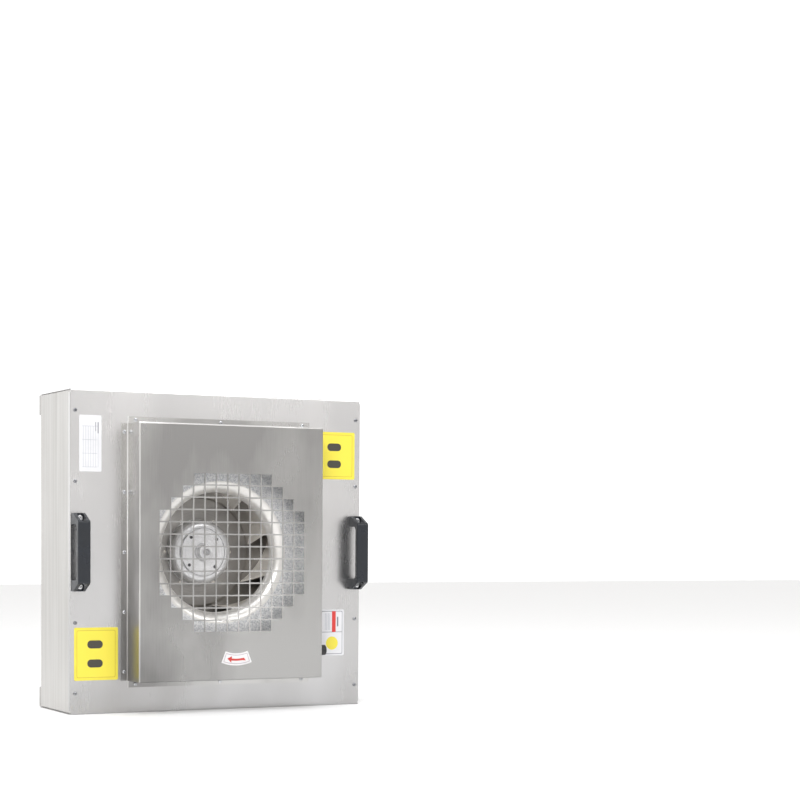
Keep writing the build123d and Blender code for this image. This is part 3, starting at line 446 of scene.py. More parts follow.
# %% [markdown]
# ## Galvanised sheet
# Hot-dip zinc freezes into crystals, each turned its own way, and on thin fan sheet they
# are only a millimetre or two wide. A Voronoi texture gives every cell a random number,
# which is just what a spangle is: cells of one metal that differ in tone and gloss. Plain
# noise has no borders between its patches, so it would look like dirt instead.

# %% Group: zinc spangle
spangle_group, spangle_in, spangle_out = new_group(
    "zinc_spangle", [("Vector", VECTOR, None), ("Scale", FLOAT, 260.0)],
    [("Tone", FLOAT), ("Speck", FLOAT)])
cells = spangle_group.nodes.new("ShaderNodeTexVoronoi")
cells.inputs["Randomness"].default_value = 1.0
spangle_group.links.new(spangle_in.outputs["Vector"], cells.inputs["Vector"])
spangle_group.links.new(spangle_in.outputs["Scale"], cells.inputs["Scale"])
cell_value = spangle_group.nodes.new("ShaderNodeSeparateColor")
spangle_group.links.new(cells.outputs["Color"], cell_value.inputs[0])
speck = spangle_group.nodes.new("ShaderNodeTexNoise")
speck.inputs["Detail"].default_value = 2.0
speck_scale = math(spangle_group, "MULTIPLY", spangle_in.outputs["Scale"], 3.0)
spangle_group.links.new(spangle_in.outputs["Vector"], speck.inputs["Vector"])
spangle_group.links.new(speck_scale, speck.inputs["Scale"])
spangle_group.links.new(cell_value.outputs[0], spangle_out.inputs["Tone"])
spangle_group.links.new(speck.outputs["Fac"], spangle_out.inputs["Speck"])
print("spangle group has", len(spangle_group.nodes), "nodes")


# %% Galvanised finish
def galvanised(name, tone, shade, roughness, scale):
    """Zinc-coated steel sheet with crystals of a given fineness."""
    material, tree, surface = start_material(name, metallic=0.15, roughness=roughness)
    zinc = use(tree, spangle_group, Vector=spot(tree), Scale=scale)
    level = math(tree, "ADD", math(tree, "MULTIPLY", zinc.outputs["Tone"], 0.6),
                 math(tree, "MULTIPLY", zinc.outputs["Speck"], 0.4))
    tree.links.new(blend(tree, ramp(tree, level, 0.35, 0.65, 0, 1), shade, tone),
                   surface.inputs["Base Color"])
    tree.links.new(ramp(tree, zinc.outputs["Tone"], 0, 1, roughness - 0.1, roughness + 0.1),
                   surface.inputs["Roughness"])
    bump(tree, zinc.outputs["Speck"], surface, 0.2, 0.00004)
    return material, tree, surface


print("zinc can be mixed")

# %% Zinc on the plate and the brackets
plate_zinc, plate_tree, plate_surface = galvanised(
    "inlet_plate_zinc", (1.0, 1.0, 1.0), (0.62, 0.63, 0.655), 0.40, 600)
bracket_zinc, _, _ = galvanised("bracket_zinc", (0.72, 0.74, 0.78), (0.50, 0.53, 0.58), 0.4, 160)
dress(bracket_zinc, "motor_bracket", "filter_seat", "capacitor_clip")
dress(plate_zinc, "inlet_plate")
print("zinc on 4 solids")


# %% [markdown]
# ## The bellmouth's lip
# The round inlet is drawn from the same sheet, and drawing stretches the zinc thin and
# polishes it against the die, so the lip is smooth. Its paler, warm colour is partly that
# polish and partly painted highlight and painted reflection. Two materials on one sheet
# would meet in a jagged line of faces. A mask on the distance from the fan's axis gives a
# true circle, so one material holds the flat plate and the smooth, brighter lip.

# %% Brighter lip, partly painted highlight
lip = ramp(plate_tree, from_axis(plate_tree), 0.1312, 0.1292, 0, 1)
# Paler, warm colour on the lip: partly polish, partly painted highlight and reflection.
plate_tree.links.new(blend(plate_tree, lip, current(plate_surface, "Base Color"), (0.93, 0.91, 0.88)),
                     plate_surface.inputs["Base Color"])
off_lip = math(plate_tree, "SUBTRACT", 1.0, lip)
plate_tree.links.new(
    math(plate_tree, "ADD", math(plate_tree, "MULTIPLY", current(plate_surface, "Roughness"), off_lip),
         math(plate_tree, "MULTIPLY", lip, 0.3)), plate_surface.inputs["Roughness"])
plate_tree.links.new(ramp(plate_tree, lip, 0, 1, 0.15, 0.6), plate_surface.inputs["Metallic"])
crystals = current(plate_surface, "Normal").node.inputs["Height"]
plate_tree.links.new(math(plate_tree, "MULTIPLY", crystals.links[0].from_socket, off_lip), crystals)
print("lip from 129 to 131 mm")


# %% [markdown]
# ## Spun and cast aluminium
# The shroud, the backplate and the rotor are turned parts: whatever marks them runs in
# circles. Noise that only reads the distance from the axis gives such circles, where
# noise in all directions would look sandblasted. A casting's skin is uneven at a fine
# scale, so the rotor is made less metallic and catches light from every side. The blades
# are plain rolled sheet, so they take the straight grain again, and their warm tan tone is
# painted reflection of warm surroundings. The backplate lies deep in the fan, and its
# darker tone is painted shade.

# %% Group: lathe rings
ring_group, ring_in, ring_out = new_group(
    "lathe_rings", [("Radius", FLOAT, 0.0), ("Rings per metre", FLOAT, 1500.0), ("Vector", VECTOR, None)],
    [("Ring", FLOAT), ("Cloud", FLOAT)])
ring_vector = ring_group.nodes.new("ShaderNodeCombineXYZ")
ring_group.links.new(math(ring_group, "MULTIPLY", ring_in.outputs["Radius"],
                          ring_in.outputs["Rings per metre"]), ring_vector.inputs[0])
ring_noise = ring_group.nodes.new("ShaderNodeTexNoise")
ring_noise.inputs["Scale"].default_value = 1.0
ring_noise.inputs["Detail"].default_value = 3.0
ring_group.links.new(ring_vector.outputs[0], ring_noise.inputs["Vector"])
ring_cloud = ring_group.nodes.new("ShaderNodeTexNoise")
ring_cloud.inputs["Scale"].default_value = 30.0
ring_group.links.new(ring_in.outputs["Vector"], ring_cloud.inputs["Vector"])
ring_group.links.new(ring_noise.outputs["Fac"], ring_out.inputs["Ring"])
ring_group.links.new(ring_cloud.outputs["Fac"], ring_out.inputs["Cloud"])
print("ring group has", len(ring_group.nodes), "nodes")


# %% Turned finish
def turned(name, tone, shade, roughness, rings, metallic=1.0, depth=0.00002):
    """Lathe-turned metal with circles round the fan's axis."""
    material, tree, surface = start_material(name, metallic=metallic, roughness=roughness)
    marks = use(tree, ring_group, Radius=from_axis(tree), Rings_per_metre=rings, Vector=spot(tree))
    level = math(tree, "ADD", math(tree, "MULTIPLY", marks.outputs["Ring"], 0.6),
                 math(tree, "MULTIPLY", marks.outputs["Cloud"], 0.4))
    tree.links.new(blend(tree, ramp(tree, level, 0.3, 0.7, 0, 1), shade, tone),
                   surface.inputs["Base Color"])
    tree.links.new(ramp(tree, level, 0.3, 0.7, roughness + 0.07, roughness - 0.07),
                   surface.inputs["Roughness"])
    bump(tree, marks.outputs["Ring"], surface, 0.4, depth)
    return material


print("turned metal can be mixed")

# %% Aluminium on the fan and the filter's rails
spun_aluminium = turned("spun_aluminium", (0.60, 0.58, 0.55), (0.46, 0.44, 0.415), 0.38, 900)
# Painted shade: a darker copy of the spun aluminium, for the backplate.
shaded_aluminium = turned("shaded_aluminium", (0.40, 0.385, 0.365), (0.27, 0.26, 0.25), 0.42, 900)
cast_aluminium = turned("cast_aluminium", (0.92, 0.92, 0.93), (0.76, 0.76, 0.775), 0.27, 1600, 0.4)
bearing_metal = turned("bearing_metal", (0.60, 0.60, 0.61), (0.42, 0.42, 0.43), 0.22, 2600)
# Painted reflection: the warm tan tone of the blades and rivets stands for warm surroundings.
rolled_aluminium, _, _ = stainless("rolled_aluminium", (1.0, 0.95, 0.88), (0.88, 0.83, 0.77), 0.32,
                                   (600, 60, 600), 0.5, (12, 12, 12), metallic=0.3)
rail_aluminium, _, _ = stainless("rail_aluminium", (0.80, 0.80, 0.80), (0.68, 0.68, 0.69), 0.4,
                                 (40, 900, 40), 0.4)
blades = [f"impeller_blade_{number}" for number in range(1, 10)]
dress(spun_aluminium, "impeller_shroud")
dress(shaded_aluminium, "impeller_backplate")
dress(rolled_aluminium, "impeller_rivets", "bracket_rivets", *blades)
dress(cast_aluminium, "rotor_housing", "motor_flange")
dress(bearing_metal, "bearing_front", "bearing_rear", "rotor_shaft", "rotor_hub", "shaft_circlip",
      "control_shaft")
rails = ("filter_rail_top", "filter_rail_right", "filter_rail_bottom", "filter_rail_left")
dress(rail_aluminium, *rails)
print("aluminium on", 2 + 2 + len(blades) + 2 + len(rails), "solids")


# %% [markdown]
# ## Motor internals
# Inside the rotor sit stacks of thin iron sheets and the copper coils. Both are striped
# along the fan's axis, the stacks by their sheets and the coils by their turns of wire.
# Sheets and wires could be modelled one by one, but a wave texture draws even stripes at
# no cost in faces.

# %% Striped finish
def striped(name, tone, shade, metallic, roughness, direction, per_metre, depth):
    """A finish with even stripes, such as stacked sheets or wound wire."""
    material, tree, surface = start_material(name, metallic=metallic, roughness=roughness)
    wave = tree.nodes.new("ShaderNodeTexWave")
    wave.bands_direction = direction
    wave.inputs["Scale"].default_value = per_metre / 20 * 2 * pi
    wave.inputs["Distortion"].default_value = 0.4
    tree.links.new(spot(tree), wave.inputs["Vector"])
    tree.links.new(blend(tree, wave.outputs["Fac"], shade, tone), surface.inputs["Base Color"])
    tree.links.new(ramp(tree, wave.outputs["Fac"], 0, 1, roughness + 0.1, roughness - 0.1),
                   surface.inputs["Roughness"])
    bump(tree, wave.outputs["Fac"], surface, 0.5, depth)
    return material


print("striped metal can be mixed")

# %% Iron and copper
lamination = striped("iron_lamination", (0.34, 0.34, 0.36), (0.16, 0.16, 0.18), 0.8, 0.5, "Y", 1000,
                     0.0002)
copper = striped("enamelled_copper", (0.72, 0.30, 0.13), (0.40, 0.14, 0.06), 0.9, 0.32, "Y", 900,
                 0.0003)
dress(lamination, "stator_core", "rotor_core")
dress(copper, "stator_winding")
print("stripes on 3 solids")


# %% [markdown]
# ## Moulded parts
# The handles are glass-filled nylon with a fine, slightly waxy grain. Knob and inlet are
# smoother, and the gasket's foam is coarse. Each could have its own network, but all of
# them are a fine grain with a wide wear over it, so they share one group: fine noise for
# the grain and wide noise for the shine that hands leave.

# %% Group: moulded grain
mould_group, mould_in, mould_out = new_group(
    "moulded_grain", [("Vector", VECTOR, None), ("Fineness", FLOAT, 900.0), ("Rub scale", FLOAT, 30.0)],
    [("Grain", FLOAT), ("Rub", FLOAT)])
for label, scale, detail in (("Grain", "Fineness", 2.0), ("Rub", "Rub scale", 4.0)):
    texture = mould_group.nodes.new("ShaderNodeTexNoise")
    texture.inputs["Detail"].default_value = detail
    mould_group.links.new(mould_in.outputs["Vector"], texture.inputs["Vector"])
    mould_group.links.new(mould_in.outputs[scale], texture.inputs["Scale"])
    mould_group.links.new(texture.outputs["Fac"], mould_out.inputs[label])
print("mould group has", len(mould_group.nodes), "nodes")


# %% Moulded finish
def moulded(name, tone, shade, roughness, fineness, depth, metallic=0.0):
    """Moulded plastic, rubber or paper: fine grain and rubbed patches."""
    material, tree, surface = start_material(name, metallic=metallic, roughness=roughness)
    grain = use(tree, mould_group, Vector=spot(tree), Fineness=fineness)
    tree.links.new(blend(tree, ramp(tree, grain.outputs["Rub"], 0.35, 0.65, 0, 1), shade, tone),
                   surface.inputs["Base Color"])
    tree.links.new(ramp(tree, grain.outputs["Rub"], 0.3, 0.7, roughness + 0.08, roughness - 0.08),
                   surface.inputs["Roughness"])
    bump(tree, grain.outputs["Grain"], surface, 0.3, depth)
    return material


print("moulded finishes can be mixed")

# %% Plastic, foam and brass
nylon = moulded("handle_nylon", (0.013, 0.016, 0.022), (0.008, 0.010, 0.014), 0.3, 1400, 0.00008)
black_plastic = moulded("black_plastic", (0.022, 0.022, 0.024), (0.012, 0.012, 0.013), 0.34, 1800,
                        0.00004)
white_plastic = moulded("white_plastic", (0.80, 0.80, 0.78), (0.70, 0.70, 0.67), 0.42, 1200, 0.00004)
gasket_foam = moulded("gasket_foam", (0.045, 0.045, 0.047), (0.025, 0.025, 0.026), 0.85, 1500, 0.0003)
brass = moulded("contact_brass", (0.80, 0.60, 0.26), (0.66, 0.48, 0.20), 0.3, 1500, 0.00002, 1.0)
dress(nylon, "handle_left", "handle_right")
dress(black_plastic, "speed_knob", "power_inlet", "speed_controller")
dress(white_plastic, "run_capacitor")
dress(gasket_foam, "filter_gasket")
dress(brass, "inlet_pins")
print("moulded finishes on 8 solids")


# %% [markdown]
# ## Plated fasteners
# Screws and nuts are zinc plated: bright, a little blue, and dull in places. The handles'
# screws get a brighter copy of the plating as painted highlight, those in the face a darker
# copy as painted shade, and the rotor's a near-black copy as painted shade.
# The spangle group would suit hot-dip zinc, but this coat is electroplated and has no
# crystals. The moulded network does it: two tones, and a roughness that wanders.

# %% Plated fasteners
plated = moulded("plated_steel", (0.66, 0.67, 0.69), (0.46, 0.47, 0.49), 0.24, 900, 0.00002, 1.0)
# Painted highlight: a brighter copy of the plating, for the handles' screws.
bright = moulded("highlight_bright_zinc", (0.90, 0.90, 0.91), (0.74, 0.74, 0.76), 0.2, 900, 0.00002, 0.7)
# Painted shade: a darker copy of the plating, for the face's screws.
dull = moulded("shade_darkened_zinc", (0.34, 0.345, 0.36), (0.22, 0.225, 0.24), 0.3, 900, 0.00002, 1.0)
# Painted shade: a near-black copy of the plating, for the rotor's screws.
shade_blackened_plating = moulded("shade_blackened_zinc", (0.16, 0.16, 0.17), (0.09, 0.09, 0.095), 0.3, 900, 0.00002, 0.8)
dress(plated, "inlet_plate_screws", "guard_screws", "handle_nuts", "motor_bolts", "clip_screws",
      "controller_nut", "capacitor_screws")
dress(bright, "handle_screws")
dress(dull, "casing_screws")
dress(shade_blackened_plating, "rotor_screws")
print("plated steel on 10 solids")


# %% [markdown]
# ## The filter's paper
# The filter is one long web of glass-fibre paper, folded into narrow pleats. The paper is
# matt and nearly white, with a fibrous tooth. Its folds could be faked with stripes, but
# they already stand in the solid, so the finish only needs the tooth.

# %% Paper
paper = moulded("filter_paper", (0.93, 0.93, 0.91), (0.88, 0.88, 0.855), 0.9, 1100, 0.0002)
dress(paper, "filter_media")
glue = moulded("glue_thread", (0.86, 0.85, 0.80), (0.80, 0.79, 0.73), 0.45, 700, 0.00006)


# %% [markdown]
# ## Laying repeated pieces with Geometry Nodes
# Screws and glue threads are one small shape, many times. They could be copied in a loop,
# but then no one could change their number or their turn later. A node tree takes points,
# puts a copy of a mesh on each of them, turns every copy a little differently about its
# own axis, and joins them. The result is then read back as a plain mesh and the modifier
# is taken off, so the piece is an ordinary object.

# %% Tree: inputs and output
lay = bpy.data.node_groups.new("pieces_on_points", "GeometryNodeTree")
for label, kind, value in (("Points", "NodeSocketGeometry", None), ("Piece", "NodeSocketObject", None),
                           ("Tilt", "NodeSocketVector", (0, 0, 0)), ("Size", FLOAT, 1.0),
                           ("Random turn", FLOAT, 0.0), ("Seed", "NodeSocketInt", 0),
                           ("Finish", "NodeSocketMaterial", None)):
    socket = lay.interface.new_socket(label, in_out="INPUT", socket_type=kind)
    if value is not None:
        socket.default_value = value
lay.interface.new_socket("Pieces", in_out="OUTPUT", socket_type="NodeSocketGeometry")
lay_in, lay_out = lay.nodes.new("NodeGroupInput"), lay.nodes.new("NodeGroupOutput")
print("tree takes", [item.name for item in lay.interface.items_tree])

# %% Tree: pieces on points
piece_info = lay.nodes.new("GeometryNodeObjectInfo")
put = lay.nodes.new("GeometryNodeInstanceOnPoints")
spin = lay.nodes.new("GeometryNodeRotateInstances")
spin.inputs["Local Space"].default_value = True
random_turn = lay.nodes.new("FunctionNodeRandomValue")
random_turn.data_type = "FLOAT"
turn_vector = lay.nodes.new("ShaderNodeCombineXYZ")
realise = lay.nodes.new("GeometryNodeRealizeInstances")
set_finish = lay.nodes.new("GeometryNodeSetMaterial")
lay.links.new(lay_in.outputs["Piece"], piece_info.inputs["Object"])
lay.links.new(lay_in.outputs["Points"], put.inputs["Points"])
lay.links.new(piece_info.outputs["Geometry"], put.inputs["Instance"])
lay.links.new(lay_in.outputs["Tilt"], put.inputs["Rotation"])
lay.links.new(lay_in.outputs["Size"], put.inputs["Scale"])
lay.links.new(lay_in.outputs["Random turn"], random_turn.inputs[3])
lay.links.new(lay_in.outputs["Seed"], random_turn.inputs["Seed"])
lay.links.new(random_turn.outputs[1], turn_vector.inputs[2])
lay.links.new(put.outputs["Instances"], spin.inputs["Instances"])
lay.links.new(turn_vector.outputs[0], spin.inputs["Rotation"])
lay.links.new(spin.outputs["Instances"], realise.inputs["Geometry"])
lay.links.new(realise.outputs["Geometry"], set_finish.inputs["Geometry"])
lay.links.new(lay_in.outputs["Finish"], set_finish.inputs["Material"])
lay.links.new(set_finish.outputs["Geometry"], lay_out.inputs["Pieces"])
print("tree has", len(lay.nodes), "nodes")


# %% Running the tree
def lay_pieces(name, points, piece, finish, tilt=(0, 0, 0), random_turn=0.0, seed=0):
    """Copies of a piece on points, as one plain mesh object."""
    dots = bpy.data.meshes.new(name + "_points")
    dots.from_pydata([tuple(p) for p in points], [], [])
    holder = bpy.data.objects.new(name, dots)
    bpy.context.scene.collection.objects.link(holder)
    modifier = holder.modifiers.new("lay", "NODES")
    modifier.node_group = lay
    sockets = {item.name: item.identifier for item in lay.interface.items_tree
               if item.item_type == "SOCKET" and item.in_out == "INPUT"}
    modifier[sockets["Piece"]] = piece
    modifier[sockets["Tilt"]] = tilt
    modifier[sockets["Random turn"]] = random_turn
    modifier[sockets["Seed"]] = seed
    modifier[sockets["Finish"]] = finish
    holder.update_tag()
    graph = bpy.context.evaluated_depsgraph_get()
    mesh = bpy.data.meshes.new_from_object(holder.evaluated_get(graph))
    holder.modifiers.clear()
    holder.data = mesh
    mesh.name = name
    print(name, len(mesh.polygons), "faces")
    return holder


def drop_pattern(piece):
    """Takes a pattern piece out of the scene once it has been laid."""
    bpy.data.objects.remove(piece)


print("pieces can be laid on points")


# %% [markdown]
# ## Turned shapes
# A glue thread and a screw's head are both round about one axis. A cylinder would do for
# the thread but not for a domed head, so one function turns a profile about an axis, as a
# lathe does, and closes it where the profile meets the axis.

# %% Turned shape
def revolved(name, profile, steps=20):
    """A closed mesh from a profile of (radius, height) turned round Z, ends on the axis."""
    points, faces = [(0, 0, profile[0][1] * MM)], []
    for radius, height in profile[1:-1]:
        for step in range(steps):
            angle = 2 * pi * step / steps
            points.append((radius * MM * cos(angle), radius * MM * sin(angle), height * MM))
    last = len(points)
    points.append((0, 0, profile[-1][1] * MM))
    rows = len(profile) - 2
    for step in range(steps):
        after = (step + 1) % steps
        faces.append((0, 1 + step, 1 + after))
        for row in range(rows - 1):
            low, high = 1 + row * steps, 1 + (row + 1) * steps
            faces.append((low + step, high + step, high + after, low + after))
        base = 1 + (rows - 1) * steps
        faces.append((base + step, last, base + after))
    mesh = bpy.data.meshes.new(name)
    mesh.from_pydata(points, [], faces)
    piece = bpy.data.objects.new(name, mesh)
    bpy.context.scene.collection.objects.link(piece)
    return piece


print("profiles can be turned")


# %% [markdown]
# ## Glue threads
# Threads of hot glue run across the pleats, front and rear, and keep the folds apart. The
# glue sinks a little into the paper. Each thread could be modelled over every fold, but it
# bridges them in a nearly straight line, so one thin straight tube does for each row, and
# the tree lays the rows.

# %% Glue threads
media_low, media_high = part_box("filter_media")
thread_rows, thread_radius, sink = 22, 0.7, 0.2 * MM
thread_length = (media_high.x - media_low.x) / MM - 2
thread = revolved("glue_thread_pattern",
                  [(0, -thread_length / 2), (thread_radius, -thread_length / 2),
                   (thread_radius, thread_length / 2), (0, thread_length / 2)], 8)
rows = [media_low.z + (media_high.z - media_low.z) * (row + 0.5) / thread_rows
        for row in range(thread_rows)]
for depth, side in ((media_low.y + sink, "front"), (media_high.y - sink, "rear")):
    threads = lay_pieces("glue_threads_" + side, [(0, depth, height) for height in rows], thread, glue,
                         tilt=(0, pi / 2, 0))
    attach(threads, "housing")
drop_pattern(thread)


# %% [markdown]
# ## Screws with a cross recess
# The solid model's pan head screws are plain domes. A real one has a cross pressed into
# it, which is what the eye finds. A painted cross would look flat from the side. So the
# head is a turned profile, and a tapered cross is taken out of it with a boolean, once.
# The tree then lays the finished screw on every hole.

# %% Cross cutter
def cross_cutter(reach, width, depth, top):
    """A plus-shaped plug that narrows downwards."""
    half, rings = width / 2, []
    for scale, height in ((1.0, top), (0.55, top - depth)):
        r, h = reach * scale, half * (0.6 + 0.4 * scale)
        rings.append([(r, h), (h, h), (h, r), (-h, r), (-h, h), (-r, h),
                      (-r, -h), (-h, -h), (-h, -r), (h, -r), (h, -h), (r, -h)])
        rings[-1] = [(x * MM, y * MM, height * MM) for x, y in rings[-1]]
    points = rings[0] + rings[1]
    faces = [tuple(range(12)), tuple(range(23, 11, -1))]
    faces += [(12 + k, 12 + (k + 1) % 12, (k + 1) % 12, k) for k in range(12)]
    mesh = bpy.data.meshes.new("cross_cutter")
    mesh.from_pydata(points, [], faces)
    cutter = bpy.data.objects.new("cross_cutter", mesh)
    bpy.context.scene.collection.objects.link(cutter)
    return cutter


print("a cross can be cut")


# %% Pan head screw
def pan_head(name, radius, height, shank, length):
    """One screw, head up, seat at the origin."""
    dome = [(0, height), (radius * 0.42, height * 0.97), (radius * 0.72, height * 0.86),
            (radius * 0.92, height * 0.62), (radius, height * 0.3), (radius * 0.98, 0.02),
            (shank, 0.02), (shank, -length), (0, -length)]
    screw = revolved(name, dome, 28)
    cutter = cross_cutter(radius * 0.56, radius * 0.27, height * 0.7, height + 0.05)
    cut = screw.modifiers.new("cross", "BOOLEAN")
    cut.object = cutter
    cut.solver = "EXACT"
    graph = bpy.context.evaluated_depsgraph_get()
    mesh = bpy.data.meshes.new_from_object(screw.evaluated_get(graph))
    screw.modifiers.clear()
    screw.data = mesh
    bpy.data.objects.remove(cutter)
    return screw


print("screws can be turned and cut")


# %% Where each screw sits
def screw_points(node, from_low):
    """Seat of each screw in a node: the centre of each loose solid, on the head's underside."""
    screw_reach = 9 * MM
    screws = {}
    for vertex in nodes[node].data.vertices:
        x, y, z = vertex.co
        for key in screws:
            if abs(key[0] - x) < screw_reach and abs(key[1] - z) < screw_reach:
                screws[key].append((x, y, z))
                break
        else:
            screws[(x, z)] = [(x, y, z)]
    seats = []
    for group in screws.values():
        xs, ys, zs = zip(*group)
        seat = min(ys) + from_low if from_low > 0 else max(ys) + from_low
        seats.append(((min(xs) + max(xs)) / 2, seat, (min(zs) + max(zs)) / 2))
    return seats


print("guard screws:", len(screw_points("guard_screws", 0.0)))

# %% Sheet screws
head_height = 2.4
sheet_screw = pan_head("sheet_screw_pattern", 3.5, head_height, 1.7, 2.0)
front_tilt, rear_tilt = (pi / 2, 0, 0), (-pi / 2, 0, 0)
for seed, (node, finish, seat, tilt) in enumerate((
        ("casing_screws", dull, head_height * MM, front_tilt),
        ("guard_screws", plated, head_height * MM, front_tilt),
        ("inlet_plate_screws", plated, head_height * MM, front_tilt),
        ("capacitor_screws", plated, head_height * MM, front_tilt),
        ("clip_screws", plated, -head_height * MM, rear_tilt))):
    heads = lay_pieces(node + "_detailed", screw_points(node, seat), sheet_screw, finish, tilt=tilt,
                       random_turn=2 * pi, seed=seed)
    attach(heads, "housing")
    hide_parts(node)
drop_pattern(sheet_screw)


# %% [markdown]
# ## Rotor screws
# The four screws in the rotor turn with the fan, so they are a piece of their own that
# rides the impeller. Their heads are low, to stay out of the air's way, and the sheet
# screw's profile would stand too high, so a flatter one is turned.

# %% Rotor screws
low_head = 1.2
flat_screw = pan_head("flat_screw_pattern", 3.0, low_head, 1.9, 2.0)
# The near-black finish on these heads is painted shade.
heads = lay_pieces("rotor_screws_detailed", screw_points("rotor_screws", low_head * MM), flat_screw, shade_blackened_plating,
                   tilt=front_tilt, random_turn=2 * pi, seed=9)
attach(heads, "impeller")
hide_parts("rotor_screws")
drop_pattern(flat_screw)


# %% [markdown]
# ## Stickers
# Each sticker is a sheet of film with rounded corners, stuck to the steel. It could be
# painted in the steel's own material, but then it would have no edge. A thin body just
# proud of the steel catches light along its edge, and stays a piece of its own.

# %% Film sheets
def film(name, outline, proud, thickness=0.12):
    """A thin sheet with an outline of (across, up) points, its back a little off the steel."""
    count = len(outline)
    points = [place(x, z, proud + thickness) for x, z in outline]
    points += [place(x, z, proud) for x, z in outline]
    faces = [tuple(range(count)), tuple(range(2 * count - 1, count - 1, -1))]
    faces += [(k, count + k, count + (k + 1) % count, (k + 1) % count) for k in range(count)]
    mesh = bpy.data.meshes.new(name)
    mesh.from_pydata(points, [], faces)
    sheet = bpy.data.objects.new(name, mesh)
    bpy.context.scene.collection.objects.link(sheet)
    return sheet


def rounded(left, right, bottom, top, corner, steps=5):
    """Outline of a rectangle with round corners, anticlockwise seen from the front."""
    outline = []
    for x, z, start in ((right - corner, top - corner, 0), (left + corner, top - corner, 90),
                        (left + corner, bottom + corner, 180), (right - corner, bottom + corner, 270)):
        for step in range(steps + 1):
            angle = radians(start + 90 * step / steps)
            outline.append((x + corner * cos(angle), z + corner * sin(angle)))
    return outline


def apply_film(sheet, material):
    """Finishes a sticker and lets it ride with the casing."""
    sheet.data.materials.append(material)
    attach(sheet, "housing")
    print(sheet.name, [round(v / MM, 1) for v in sheet.dimensions])


print("film can be cut and applied")


# %% [markdown]
# ## Printing on film
# The stickers are printed by screen: flat areas of one ink each. An image would need
# pixels and an unwrapped mesh, so the ink is drawn from measured shapes instead. One group
# says where a rounded rectangle is, and a material stacks as many of them as it needs.

# %% Group: printed shape
shape_group, shape_in, shape_out = new_group(
    "printed_shape",
    [("Vector", VECTOR, None), ("Centre", VECTOR, (0, 0, 0)), ("Half width", FLOAT, 0.01),
     ("Half height", FLOAT, 0.01), ("Corner", FLOAT, 0.001)], [("Inside", FLOAT)])
offset = shape_group.nodes.new("ShaderNodeVectorMath")
offset.operation = "SUBTRACT"
shape_group.links.new(shape_in.outputs["Vector"], offset.inputs[0])
shape_group.links.new(shape_in.outputs["Centre"], offset.inputs[1])
parts_of = shape_group.nodes.new("ShaderNodeSeparateXYZ")
shape_group.links.new(offset.outputs[0], parts_of.inputs[0])
outside = []
for axis, size in (("X", "Half width"), ("Z", "Half height")):
    inner = math(shape_group, "SUBTRACT", shape_in.outputs[size], shape_in.outputs["Corner"])
    reach = math(shape_group, "SUBTRACT", math(shape_group, "ABSOLUTE", parts_of.outputs[axis]), inner)
    over = math(shape_group, "MAXIMUM", reach, 0.0)
    outside.append(math(shape_group, "MULTIPLY", over, over))
distance = math(shape_group, "SQRT", math(shape_group, "ADD", outside[0], outside[1]))
inside = math(shape_group, "LESS_THAN", distance, shape_in.outputs["Corner"])
shape_group.links.new(inside, shape_out.inputs["Inside"])
print("printed shape group has", len(shape_group.nodes), "nodes")


# %% Printing on film
def print_shapes(name, ground, shapes, roughness=0.42):
    """Film with plain printed shapes: each is (colour, across, up, half width, half height, corner)."""
    material, tree, surface = start_material(name, roughness=roughness)
    where = spot(tree)
    fade = tree.nodes.new("ShaderNodeTexNoise")
    fade.inputs["Scale"].default_value = 40
    fade.inputs["Detail"].default_value = 4
    tree.links.new(where, fade.inputs["Vector"])
    shade = tuple(0.93 * value for value in ground)
    colour = blend(tree, ramp(tree, fade.outputs["Fac"], 0.35, 0.65, 0, 1), shade, ground)
    for ink, across, up, half_width, half_height, corner in shapes:
        mark = use(tree, shape_group, Vector=where, Centre=tuple(place(across, up)),
                   Half_width=half_width * MM, Half_height=half_height * MM, Corner=corner * MM)
        colour = blend(tree, mark.outputs["Inside"], colour, ink)
    tree.links.new(colour, surface.inputs["Base Color"])
    tree.links.new(ramp(tree, fade.outputs["Fac"], 0.3, 0.7, roughness + 0.08, roughness - 0.08),
                   surface.inputs["Roughness"])
    surface.inputs["Coat Weight"].default_value = 0.3
    surface.inputs["Coat Roughness"].default_value = 0.25
    return material


print("shapes can be printed")


# %% [markdown]
# ## Yellow stickers
# Two yellow stickers sit at opposite corners of the face. They carry a thin inset line
# and two plain dark ovals. The line could be a loop of thin film, but a yellow shape laid
# over a slightly larger dark one leaves the same line.

# %% Yellow stickers
YELLOW, BORDER, INK = (0.76, 0.65, 0.05), (0.42, 0.29, 0.02), (0.035, 0.033, 0.022)


def yellow_field(name, left, right, bottom, top):
    """A yellow sticker with an inset line and two plain dark ovals."""
    across, up = (left + right) / 2, (bottom + top) / 2
    half_width, half_height = (right - left) / 2, (top - bottom) / 2
    shapes = [(BORDER, across, up, half_width - 5.0, half_height - 5.0, 3),
              (YELLOW, across, up, half_width - 5.7, half_height - 5.7, 2.5)]
    for side in (-1, 1):
        shapes.append((INK, across - 2, up + side * half_height * 0.36, 14.5, 7.2, 7.2))
    sheet = film(name, rounded(left, right, bottom, top, 3), 0.05)
    apply_film(sheet, print_shapes(name + "_print", YELLOW, shapes))


yellow_field("yellow_sticker_low", -279.5, -197.3, -227.5, -133.5)
yellow_field("yellow_sticker_high", 193.5, 275.5, 138.0, 226.5)


# %% [markdown]
# ## Rating plate and colour plate
# The rating plate is white film with ruled lines and no words. The plate beside the knob
# has only fields of colour. Rules this thin could be thin strips of film, which would
# flicker at a distance. Printed in the material, they stay clean.

